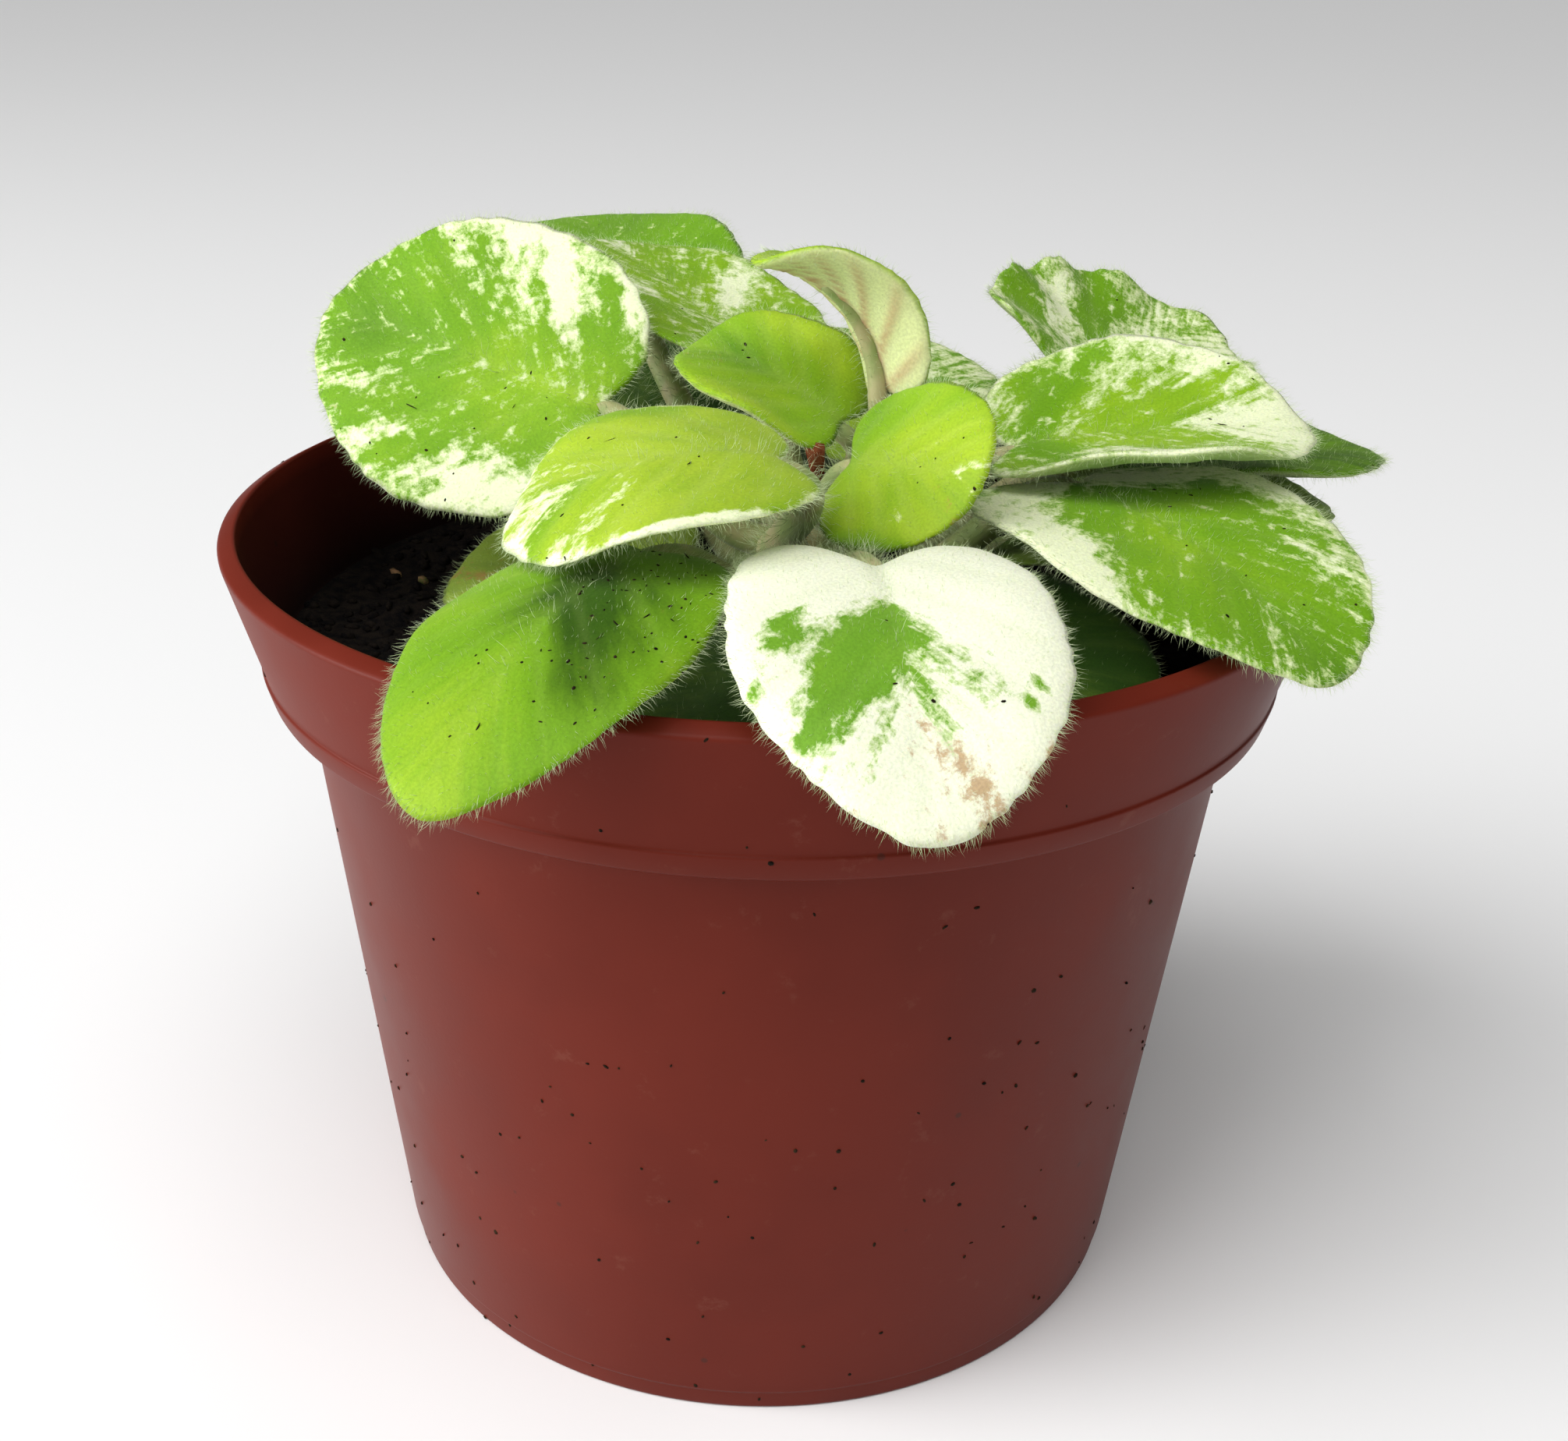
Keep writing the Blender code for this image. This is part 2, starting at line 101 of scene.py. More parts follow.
# Blades
THICKNESS = 1.0
CELL = 0.45
HIDDEN_CELL = 0.8
BLADE_CENTRE = 0.45
NOTCH_SPREAD = 0.30
LOBE_ROUNDNESS = 2.3
FOLD_WIDTH = 0.12
WAVE_TURN = 1.3
NEARLY_FLAT = 1e-6
SLOPE_STEP = 0.02
EDGE_SHARPNESS = 8
TOOTH_COUNT = 26
VEIN_LEAN = 0.75
VEIN_BASE_LEAN = 0.225
VEIN_PITCH = 0.155
VEIN_STAGGER = 0.45
VEIN_WIDTH = 0.42
MIDRIB_WIDTH = 0.7
QUILT_HEIGHT = 0.05
VEIN_GROOVE = 0.03
MIDRIB_GROOVE = 0.12
UNDER_VEIN_RISE = 0.16

# Petioles
PETIOLE_START_GAP = 0.4 * MM
PETIOLE_ARC_POINTS = 26
PETIOLE_SIDES = 14
MIDRIB_POINTS = 12
MIDRIB_REACH = 0.62
TANGENT_STEP = 0.001
MIDRIB_DROP_START = 0.9
MIDRIB_DROP_END = 0.35
MIDRIB_END_RADIUS = 0.5 * MM
PETIOLE_TAPER = 0.8
MIDRIB_TAPER = 0.75

# Hairs
FUZZ_LENGTH = 0.42 * MM
FUZZ_RADIUS = 0.014 * MM
FUZZ_DENSITY = 2.2
FRINGE_LENGTH = 0.95 * MM
FRINGE_RADIUS = 0.016 * MM
FRINGE_DENSITY = 26.0
FRINGE_START = 0.955
PETIOLE_HAIR_LENGTH = 1.7 * MM
PETIOLE_HAIR_RADIUS = 0.022 * MM
PETIOLE_HAIR_DENSITY = 3.2
PER_SQUARE_MM = 1e6
UNDERSIDE_HAIRINESS = 0.4

# Leaf colouring
DRAWN_MOTTLING = 0.75
FINE_MOTTLING = 1.0

# Soil scraps
SPECK_SIZE = (0.17 * MM, 0.11 * MM, 0.07 * MM)
FIBRE_SIZE = (0.85 * MM, 0.05 * MM, 0.05 * MM)
FIBRE_SHARE = 0.12
CRUMB_LUMP = (0.75 * MM, 0.55 * MM, 0.4 * MM)
CRUMB_DENSITY = 0.30
SCRAP_LUMP = (1.3 * MM, 0.5 * MM, 0.25 * MM)
SCRAP_DENSITY = 0.006
POT_SPECK_SIZE = (0.22 * MM, 0.18 * MM, 0.12 * MM)


@dataclass
class Leaf:
    """One leaf's form, with the same values and meanings as in the part's source."""

    notch: tuple
    heading: float
    pitch: float
    bank: float
    length: float
    width: float
    bend: float
    cup: float
    foot_heading: float
    foot_height: float = 0.0
    foot_rise: float = 0.0
    fold: float = 0.0
    curl: float = 0.0
    lobe: float = 0.15
    tip: float = 2.0
    ruffle: float = 0.02
    waves: int = 5
    leave: float = 0.35
    arrive: float = 0.35
    petiole: float = 1.4
    hidden: bool = False


LEAVES = {
    "leaf_left_large": Leaf(
        (-14.1, 0.1, 74.8), 161.5, 14.5, -49, 26.7, 27.1, 8, 1, 170, 63.5,
        curl=0.01, lobe=0.1, tip=1.71, leave=0.36, arrive=0.34,
    ),
    "leaf_left_lime": Leaf(
        (0.6, -22.6, 77.8), 194.5, 14, -3.5, 21.6, 23.8, 59, 12, -128, foot_rise=2,
        fold=-0.13, lobe=0.12, tip=1.86, arrive=0.31,
    ),
    "leaf_front_green": Leaf(
        (-8.8, -26.6, 72.2), 242, 5, 4, 29.6, 21, 47, -19, -125.5, 61.2,
        lobe=0.1, tip=1.57, leave=0.33,
    ),
    "leaf_front_cream": Leaf(
        (6.8, -31.6, 73.6), -81.5, -5, -0.5, 24.7, 22.4, 40, -2, -87, 62.4,
        fold=0.08, curl=-0.05, lobe=0.26, tip=1.59, arrive=0.37,
    ),
    "leaf_centre_left": Leaf(
        (5.1, -5.5, 75.5), 158, 32.5, -19, 15, 14.7, 31, 30, -21.5, foot_rise=67,
        lobe=0.1, tip=1.9, ruffle=0.04, leave=0.44, arrive=0.32, petiole=1,
    ),
    "leaf_centre_right": Leaf(
        (5.6, -12.2, 74.5), -57, 14, 51, 15, 14.5, 15, 0, -92.5, foot_rise=37,
        tip=2.1, leave=0.42, arrive=0.33, petiole=1,
    ),
    "leaf_back_wavy": Leaf(
        (24.3, 12, 77), 56, -17, 24, 26.6, 24.8, -32, 28, 43, 62.1,
        lobe=0.18, tip=1.9, ruffle=0.05, waves=9,
    ),
    "leaf_right_cupped": Leaf(
        (18.3, -6.5, 74.2), -2.5, 12.5, 10, 24, 22.9, 16, 38, 0, foot_rise=12,
        tip=1.9, waves=7, leave=0.33,
    ),
    "leaf_right_front": Leaf(
        (23.1, -10, 72), -56.5, 7.5, -0.5, 29.2, 26.8, 41, -3, -28, 61,
        fold=0.05, curl=0.03, lobe=0.2, tip=1.58,
    ),
    "leaf_centre_folded": Leaf(
        (8.5, -6.7, 78.4), 107, 77, 101.5, 16.9, 11.7, 94, 36, 25.5, foot_rise=40,
        fold=0.03, lobe=0.11, tip=1.96, leave=0.32, arrive=0.43, petiole=1,
    ),
    "leaf_back_cream": Leaf(
        (-1.7, 9.7, 77.1), 129.5, 14.5, 5.5, 23.9, 22.1, 0, 19, 126.5, foot_rise=42,
        leave=0.34, petiole=1.2,
    ),
    "leaf_back_green": Leaf(
        (-11.4, 20.4, 76.3), 110.5, 21.5, -2.5, 26.3, 23.4, 18, 24, 127, 64,
        arrive=0.48,
    ),
    "leaf_right_dark": Leaf(
        (27.6, 6.2, 70.4), 6.5, 1, 0, 25.3, 21.4, 5, 14, 20, 59.7,
        tip=1.8, leave=0.28, arrive=0.42,
    ),
    "leaf_low_front_right": Leaf(
        (8.8, -13.1, 62.8), -55, 2.5, 4, 25.8, 24.6, 16, 17, -69, 58.3,
        lobe=0.18, leave=0.4, arrive=0.31, petiole=1.2, hidden=True,
    ),
    "leaf_low_front": Leaf(
        (-1, -14.7, 60.3), -112, 1, 0, 26.4, 24.3, 10, 14, -104, 58.1,
        lobe=0.18, petiole=1.2, hidden=True,
    ),
    "leaf_low_left": Leaf(
        (-7.5, 0, 62.1), 187, -4, -6.5, 20.6, 20.4, 11, 14, -180, 58.5,
        tip=2.1, leave=0.27, arrive=0.3, petiole=1.2,
    ),
    "leaf_low_back_right": Leaf(
        (7.1, 12.2, 69), 74, 13.5, 11, 25.7, 22, 12, 10, 76, 60.5,
        petiole=1.2,
    ),
    "leaf_low_right": Leaf(
        (20.2, 1.2, 64.4), -4.5, 13, 0.5, 26.5, 25.5, 11, 15, -6.5, 57.8,
        petiole=1.2, hidden=True,
    ),
    "leaf_low_back_left": Leaf(
        (-7.9, 14.4, 67.7), 140, 12.5, -8.5, 28.1, 25.8, 15, 14, 160.5, 60.7,
        leave=0.45, arrive=0.13, petiole=1.2, hidden=True,
    ),
    "leaf_low_back": Leaf(
        (3, 13, 63.5), 96, 4, 0, 27, 25, 23, 11, 94.5, 58.3,
        lobe=0.18, leave=0.38, arrive=0.28, petiole=1.2, hidden=True,
    ),
    "leaf_bud_front": Leaf(
        (2.6, -2.5, 70.2), -140, 25, 0, 6.5, 5.5, 17, 29, -120, foot_rise=65,
        lobe=0.1, tip=1.9, ruffle=0, petiole=0.7,
    ),
    "leaf_bud_back": Leaf(
        (5.5, 3.2, 70), 40, 31, 0, 7.5, 6, 17, 29, 60, foot_rise=62,
        lobe=0.1, tip=1.9, ruffle=0, petiole=0.7,
    ),
}


@dataclass
class Look:
    """One leaf's colouring.

    cream is how far its mottling leans to cream: 0 is half and half, -0.4 none and 0.4 all. tone runs from
    -1 dark green over 0 mid green to 1 lime. A patch is (along the blade, across it, spread across the
    veins, spread along the veins, strength), with the blade 0 to 1 long and -1 to 1 wide. The strength of a
    speck patch is how many specks of soil lie on a square millimetre.
    """

    slot: str
    cream: float = -0.5
    tone: float = 0.0
    cream_patches: tuple = ()
    tone_patches: tuple = ()
    blush_patches: tuple = ()
    speck_patches: tuple = ((0.5, 0.0, 0.5, 1.0, 0.02),)
    margin_cream: float = 0.0
    tooth: float = 0.014
    pink: float = 0.0


LOOKS = {
    "leaf_left_large": Look(
        "leaf_variegated", -0.18, 0.10,
        cream_patches=(
            (0.20, 0.76, 0.25, 0.24, 0.36), (0.24, -0.74, 0.16, 0.28, 0.18), (0.02, 0.72, 0.06, 0.22, 0.22), (0.52, 0.74, 0.05, 0.12, -0.22),
            (0.12, 0.88, 0.04, 0.08, -0.30), (0.66, 0.70, 0.05, 0.20, 0.12), (0.28, -0.58, 0.035, 0.32, 0.34),
            (0.45, -0.62, 0.035, 0.34, 0.26), (0.62, -0.60, 0.05, 0.25, 0.18), (0.02, -0.72, 0.05, 0.20, 0.30),
            (0.16, -0.75, 0.02, 0.20, -0.20), (0.76, 0.35, 0.05, 0.20, 0.12), (0.55, -0.92, 0.15, 0.09, 0.22),
            (0.35, 0.02, 0.30, 0.06, 0.06),
        ),
        tone_patches=(
            (0.90, -0.15, 0.20, 0.70, -0.75), (0.20, 0.10, 0.25, 0.35, 0.55), (0.10, 0.0, 0.35, 0.05, 0.5),
        ),
        speck_patches=((0.4, 0.5, 0.3, 0.4, 0.07), (0.5, -0.2, 0.4, 0.7, 0.02)),
        margin_cream=0.14,
    ),
    "leaf_left_lime": Look(
        "leaf_lime", -0.30, 0.70,
        cream_patches=(
            (0.92, -0.15, 0.12, 0.55, 0.42), (0.80, -0.45, 0.12, 0.40, 0.22), (0.76, 0.55, 0.12, 0.40, 0.26),
            (0.60, 0.99, 0.60, 0.07, 0.90), (0.80, 0.30, 0.05, 0.16, -0.20), (0.68, 0.0, 0.06, 0.4, 0.10),
        ),
        tone_patches=((0.82, 0.15, 0.10, 0.5, -0.8), (0.1, 0.9, 0.2, 0.3, -0.4), (0.45, -0.9, 0.2, 0.12, -0.8)),
        speck_patches=((0.4, -0.2, 0.3, 0.5, 0.03), (0.85, 0.5, 0.1, 0.3, 0.10)),
        margin_cream=0.34,
    ),
    "leaf_front_green": Look(
        "leaf_green", -0.6, 0.25,
        tone_patches=(
            # The first two tone patches are painted shadow of leaf_left_lime, which lies over this leaf. They darken
            # the middle and one side near the notch.
            (0.33, 0.12, 0.15, 0.45, -1.5), (0.25, 0.60, 0.30, 0.50, -0.55), (0.9, 0.0, 0.25, 1.0, 0.55),
            (0.55, 0.95, 0.5, 0.15, 0.5),
        ),
        speck_patches=((0.35, 0.50, 0.30, 0.40, 0.42), (0.6, 0.0, 0.4, 0.8, 0.05)),
        tooth=0.006,
    ),
    "leaf_front_cream": Look(
        "leaf_cream", 0.40, 0.05,
        cream_patches=(
            (0.50, -0.34, 0.14, 0.34, -0.85), (0.36, -0.68, 0.06, 0.18, -0.60), (0.36, -0.05, 0.13, 0.22, -0.34),
            (0.60, 0.06, 0.12, 0.24, -0.36), (0.52, 0.34, 0.12, 0.26, -0.30), (0.56, 0.72, 0.03, 0.07, -0.52),
            (0.63, 0.66, 0.03, 0.06, -0.48), (0.70, -0.20, 0.03, 0.07, -0.45), (0.68, -0.58, 0.03, 0.07, -0.50),
            (0.57, -0.88, 0.03, 0.06, -0.50), (0.80, -0.30, 0.03, 0.06, -0.36),
        ),
        blush_patches=(
            (0.80, 0.15, 0.08, 0.24, 0.36), (0.86, 0.36, 0.07, 0.20, 0.36), (0.78, 0.74, 0.03, 0.06, 0.60),
            (0.84, 0.60, 0.03, 0.05, 0.42), (0.95, 0.05, 0.04, 0.2, 0.24), (0.88, -0.40, 0.03, 0.07, 0.34),
        ),
        speck_patches=((0.6, 0.3, 0.3, 0.6, 0.04),),
        tooth=0.016,
    ),
    "leaf_centre_left": Look(
        "leaf_lime", -0.38, 0.0,
        cream_patches=((0.7, -0.85, 0.2, 0.2, 0.20), (0.95, 0.3, 0.1, 0.5, 0.20)),
        tone_patches=((0.60, 0.0, 0.20, 0.35, -0.7), (0.4, -0.8, 0.3, 0.3, 0.7), (0.3, 0.85, 0.4, 0.2, 0.6)),
        blush_patches=((0.85, 0.25, 0.12, 0.4, 0.16), (0.97, 0.0, 0.05, 0.5, 0.24)),
        speck_patches=((0.78, -0.2, 0.08, 0.2, 0.20),),
    ),
    "leaf_centre_right": Look(
        "leaf_lime", -0.34, 0.55,
        cream_patches=((0.92, 0.1, 0.08, 0.8, 0.26), (0.62, 0.15, 0.12, 0.3, 0.14), (0.55, -0.5, 0.12, 0.3, 0.15)),
        tone_patches=((0.10, 0.60, 0.25, 0.5, -0.9), (0.0, 0.0, 0.1, 0.8, -0.4), (0.5, -0.95, 0.3, 0.12, -1.2)),
        blush_patches=((0.88, -0.35, 0.06, 0.20, 0.30),),
        speck_patches=((0.85, -0.3, 0.12, 0.4, 0.30),),
    ),
    "leaf_back_wavy": Look(
        "leaf_variegated", -0.04, 0.05,
        cream_patches=(
            (0.35, 0.55, 0.06, 0.4, 0.18), (0.20, 0.75, 0.06, 0.3, -0.16), (0.55, 0.50, 0.08, 0.4, -0.18),
            (0.40, -0.30, 0.05, 0.4, -0.14), (0.75, -0.2, 0.15, 0.4, 0.15),
        ),
        tone_patches=((0.7, 0.5, 0.3, 0.6, -0.3),),
        tooth=0.02,
    ),
    "leaf_right_cupped": Look(
        "leaf_variegated", -0.15, 0.60,
        cream_patches=(
            (0.82, 0.10, 0.20, 0.95, 0.38), (0.42, -0.75, 0.07, 0.35, 0.38), (0.62, 0.76, 0.15, 0.25, 0.22),
            (0.30, 0.35, 0.03, 0.50, 0.12), (0.52, 0.20, 0.06, 0.25, -0.12),
        ),
        tone_patches=((0.05, 0.0, 0.09, 0.9, -0.9), (0.4, -0.3, 0.15, 0.3, 0.4)),
        speck_patches=((0.7, 0.3, 0.3, 0.6, 0.05),),
        margin_cream=0.25,
    ),
    "leaf_right_front": Look(
        "leaf_variegated", -0.20, 0.05,
        cream_patches=(
            (0.04, 0.30, 0.07, 0.45, 0.52), (0.02, -0.40, 0.08, 0.30, 0.36), (0.30, -0.80, 0.15, 0.25, 0.38),
            (0.52, -0.86, 0.08, 0.15, 0.28), (0.72, 0.66, 0.12, 0.25, 0.24), (0.90, -0.20, 0.06, 0.40, 0.15),
            (0.35, 0.85, 0.15, 0.15, 0.30),
        ),
        tone_patches=((0.45, -0.1, 0.25, 0.35, 0.35), (0.90, 0.0, 0.15, 0.7, -0.7)),
        speck_patches=((0.2, 0.3, 0.1, 0.3, 0.12), (0.5, 0.0, 0.4, 0.8, 0.02)),
        margin_cream=0.16,
    ),
    "leaf_centre_folded": Look("leaf_lime", -0.3, 0.5, margin_cream=-0.15, pink=1.0),
    "leaf_back_cream": Look(
        "leaf_variegated", -0.12, 0.55,
        cream_patches=((0.70, 0.70, 0.08, 0.4, 0.35), (0.45, -0.5, 0.06, 0.5, 0.30), (0.9, 0.0, 0.08, 0.5, 0.2)),
    ),
    "leaf_back_green": Look(
        "leaf_variegated", -0.22, -0.35,
        cream_patches=((0.30, 0.10, 0.05, 0.5, 0.3),),
        tooth=0.01,
    ),
    "leaf_right_dark": Look("leaf_green", -0.6, -0.55, margin_cream=0.1),
    "leaf_low_front_right": Look("leaf_shaded"),
    "leaf_low_front": Look("leaf_shaded"),
    "leaf_low_left": Look(
        "leaf_shaded", -0.6, 0.9,
        blush_patches=((0.97, 0.35, 0.06, 0.5, 0.8), (0.6, 0.0, 0.4, 1.0, 0.18)),
    ),
    "leaf_low_back_right": Look("leaf_variegated", 0.0, -0.3),
    "leaf_low_right": Look("leaf_shaded", tone=0.4),
    "leaf_low_back_left": Look("leaf_shaded"),
    "leaf_low_back": Look("leaf_shaded"),
    "leaf_bud_front": Look("leaf_lime", -0.4, 0.4, tooth=0.0),
    "leaf_bud_back": Look("leaf_lime", -0.4, 0.4, tooth=0.0),
}


def put(tree, kind, inputs=None, **settings):
    """Adds a node, sets its settings, and sets or links its inputs by name or number."""
    node = tree.nodes.new(kind)
    for key, value in settings.items():
        setattr(node, key, value)
    for key, value in (inputs or {}).items():
        if isinstance(value, bpy.types.NodeSocket):
            tree.links.new(value, node.inputs[key])
        else:
            node.inputs[key].default_value = value
    return node


def attribute(tree, name):
    return put(tree, "ShaderNodeAttribute", attribute_name=name)


def math(tree, operation, first, second=0.0):
    return put(tree, "ShaderNodeMath", {0: first, 1: second}, operation=operation).outputs[0]


def scaled(tree, vector, factors):
    return put(tree, "ShaderNodeVectorMath", {0: vector, 1: factors}, operation="MULTIPLY").outputs[0]


def noise_at(tree, vector, detail=2.0, roughness=0.5, distortion=0.0, size=1.0):
    inputs = {"Vector": vector, "Scale": size, "Detail": detail, "Roughness": roughness, "Distortion": distortion}
    return put(tree, "ShaderNodeTexNoise", inputs).outputs["Fac"]


def between(tree, value, low, high, to_low=0.0, to_high=1.0):
    """Eases a value from one range to another."""
    inputs = {"Value": value, "From Min": low, "From Max": high, "To Min": to_low, "To Max": to_high}
    return put(tree, "ShaderNodeMapRange", inputs, interpolation_type="SMOOTHSTEP").outputs["Result"]


def blended(tree, share, first, second, mode="MIX"):
    mix = put(tree, "ShaderNodeMix", data_type="RGBA", blend_type=mode)
    for socket, value in ((mix.inputs[0], share), (mix.inputs[6], first), (mix.inputs[7], second)):
        if isinstance(value, bpy.types.NodeSocket):
            tree.links.new(value, socket)
        else:
            socket.default_value = value
    return mix.outputs[2]


def shader_group(name, inputs, outputs):
    """An empty node group with these sockets, given as (name, kind, default) and (name, kind)."""
    group = bpy.data.node_groups.new(name, "ShaderNodeTree")
    for title, kind, value in inputs:
        group.interface.new_socket(title, in_out="INPUT", socket_type=kind).default_value = value
    for title, kind in outputs:
        group.interface.new_socket(title, in_out="OUTPUT", socket_type=kind)
    return group, group.nodes.new("NodeGroupInput").outputs, group.nodes.new("NodeGroupOutput").inputs


def material(name, roughness):
    finish = bpy.data.materials.new(name)
    finish.use_nodes = True
    shader = finish.node_tree.nodes["Principled BSDF"]
    shader.inputs["Roughness"].default_value = roughness
    return finish, finish.node_tree, shader


def colour(red, green, blue):
    return (red, green, blue, 1.0)


def mesh_object(name, mesh, *finishes):
    obj = bpy.data.objects.new(name, mesh)
    bpy.context.scene.collection.objects.link(obj)
    for finish in finishes:
        mesh.materials.append(finish)
    return obj


def applied(obj):
    """Swaps the object's mesh for the one that its modifiers give."""
    graph = bpy.context.evaluated_depsgraph_get()
    mesh = bpy.data.meshes.new_from_object(obj.evaluated_get(graph))
    obj.modifiers.clear()
    obj.data = mesh
    return obj


def mount(obj, slot, *nodes):
    """Gives a finished piece to the part's body and hides the solids that it stands for. The slot is not used."""
    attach(obj, BODY)
    if nodes:
        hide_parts(*nodes)
    return obj


def margin_distance(leaf, angle):
    """How far the margin is from the blade's centre; angle 0 points to the tip and pi to the notch."""
    to_tip = np.cos(angle) > 0
    reach = np.where(to_tip, leaf.length * (1 - BLADE_CENTRE), leaf.length * (BLADE_CENTRE + leaf.lobe))
    power = np.where(to_tip, leaf.tip, LOBE_ROUNDNESS)
    along = np.abs(np.cos(angle) / reach) ** power
    across = np.abs(np.sin(angle) / (leaf.width / 2)) ** power
    notch = leaf.lobe / (BLADE_CENTRE + leaf.lobe) * np.exp(-(((pi - np.abs(angle)) / NOTCH_SPREAD) ** 2))
    return (along + across) ** (-1 / power) * (1 - notch)


def middle_surface(leaf, phase, x, y):
    """The blade's middle surface over flat points, in millimetres, the notch at the origin and the tip at +X."""
    from_centre = x - leaf.length * BLADE_CENTRE
    angle = np.arctan2(y, from_centre)
    share = np.hypot(from_centre, y) / margin_distance(leaf, angle)
    half = leaf.width / 2
    roll = (radians(leaf.cup) or NEARLY_FLAT) / half
    lift = (1 - np.cos(roll * y)) / roll
    lift = lift + leaf.fold * (np.sqrt(y**2 + (FOLD_WIDTH * half) ** 2) - FOLD_WIDTH * half)
    lift = lift + leaf.curl * half * share**4
    lift = lift + leaf.ruffle * half * share**3 * np.sin(leaf.waves * angle + phase)
    arch = (radians(leaf.bend) or NEARLY_FLAT) / leaf.length
    turn = arch * x
    return np.stack(
        [
            np.sin(turn) / arch + lift * np.sin(turn),
            np.sin(roll * y) / roll,
            np.cos(turn) / arch - 1 / arch + lift * np.cos(turn),
        ],
        axis=-1,
    )


def surface_normals(leaf, phase, x, y):
    ahead = middle_surface(leaf, phase, x + SLOPE_STEP, y) - middle_surface(leaf, phase, x - SLOPE_STEP, y)
    aside = middle_surface(leaf, phase, x, y + SLOPE_STEP) - middle_surface(leaf, phase, x, y - SLOPE_STEP)
    normals = np.cross(ahead, aside)
    return normals / np.linalg.norm(normals, axis=-1, keepdims=True)


def outward_directions(leaf, phase, x, y):
    """Unit directions along the blade that lead from its centre to the margin."""
    from_centre = x - leaf.length * BLADE_CENTRE
    reach = np.hypot(from_centre, y) + SLOPE_STEP
    step_x, step_y = SLOPE_STEP * from_centre / reach, SLOPE_STEP * y / reach
    outer = middle_surface(leaf, phase, x + step_x, y + step_y)
    directions = outer - middle_surface(leaf, phase, x - step_x, y - step_y)
    return directions / (np.linalg.norm(directions, axis=-1, keepdims=True) + NEARLY_FLAT)


def leaf_matrix(leaf):
    turn = Euler((radians(leaf.bank), -radians(leaf.pitch), radians(leaf.heading)), "XYZ")
    return Matrix.Translation(Vector(leaf.notch) * MM) @ turn.to_matrix().to_4x4() @ Matrix.Scale(MM, 4)


def placed(leaf, points):
    matrix = np.array(leaf_matrix(leaf))
    return points @ matrix[:3, :3].T + matrix[:3, 3]


def vein_start(along, across):
    """Where on the midrib the side vein through a point begins, in shares of the blade's length."""
    outward = np.abs(across)
    return (along - VEIN_BASE_LEAN * outward) / (1 + VEIN_LEAN * outward)


def veins(leaf, x, y, share):
    """(side veins, midrib, quilting), each from 0 to 1, over flat points."""
    along, across = x / leaf.length, y / (leaf.width / 2)
    start = vein_start(along, across)
    turn = start / VEIN_PITCH + np.where(y > 0, 0.0, VEIN_STAGGER)
    off = turn - np.round(turn)
    distance = np.abs(off) * VEIN_PITCH * leaf.length
    inland = np.clip(1.25 * (1 - share**5), 0, 1)
    side = np.exp(-((distance / VEIN_WIDTH) ** 2)) * inland * (0.55 + 0.45 * np.exp(-np.abs(across) * 2))
    reach = np.clip(1 - along, 0, 1) ** 0.5 * (along > -0.02)
    midrib = np.exp(-((y / (MIDRIB_WIDTH * (0.35 + 0.65 * reach))) ** 2)) * reach
    quilt = np.sin(pi * off) ** 2 * inland * np.clip(np.abs(across) * 3, 0, 1)
    return side, midrib, quilt


def patch_sum(patches, along, across):
    start = vein_start(along, across)
    total = np.zeros_like(along)
    for patch_along, patch_across, spread_over, spread_out, strength in patches:
        over = (start - vein_start(patch_along, patch_across)) / spread_over
        out = (across - patch_across) / spread_out
        total += strength * np.exp(-(over**2) - out**2)
    return total


def toothed(leaf, look, angle, phase):
    """The margin's fine scallops, as a share of its distance."""
    uneven = angle + 0.06 * np.sin(5 * angle + phase) + 0.04 * np.sin(11 * angle + 2 * phase)
    scallop = 0.5 + 0.5 * np.cos(TOOTH_COUNT * uneven)
    near_notch = np.exp(-(((pi - np.abs(angle)) / NOTCH_SPREAD) ** 2))
    swell = 0.5 * np.sin(3 * angle + phase) + 0.5 * np.sin(7 * angle - phase)
    return 1 - look.tooth * (scallop + 0.5 * swell) * (1 - near_notch)


def leaf_grid(leaf, look, phase):
    """Flat points of a square grid drawn out to the leaf's outline, with each one's share of the way out."""
    cell = HIDDEN_CELL if leaf.hidden else CELL
    rows = max(16, round(leaf.length / cell))
    columns = max(14, round(leaf.width / cell))
    v, u = np.meshgrid(np.linspace(-1, 1, rows + 1), np.linspace(-1, 1, columns + 1), indexing="ij")
    x = v * np.sqrt(1 - u * u / 2)
    y = u * np.sqrt(1 - v * v / 2)
    share, angle = np.hypot(x, y), np.arctan2(y, x)
    outline = margin_distance(leaf, angle)
    outline = outline * (1 + (toothed(leaf, look, angle, phase) - 1) * share**6)
    return leaf.length * BLADE_CENTRE + share * outline * np.cos(angle), share * outline * np.sin(angle), share


def grid_faces(rows, columns, index):
    """Quads over a grid, by each point's number."""
    corners = (index[:-1, :-1], index[1:, :-1], index[1:, 1:], index[:-1, 1:])
    return np.stack(corners, axis=-1).reshape(-1, 4)


def add_attribute(mesh, name, kind, values):
    layer = mesh.attributes.new(name, kind, "POINT")
    layer.data.foreach_set("vector" if kind == "FLOAT_VECTOR" else "value", values.astype(np.float32).ravel())


def add_even_growth(mesh, fuzz=None):
    """Hairs all over, standing straight up."""
    ways = np.empty(len(mesh.vertices) * 3, np.float32)
    mesh.vertex_normals.foreach_get("vector", ways)
    add_attribute(mesh, "growth", "FLOAT_VECTOR", ways)
    add_attribute(mesh, "fuzz", "FLOAT", np.ones(len(mesh.vertices)) if fuzz is None else fuzz)


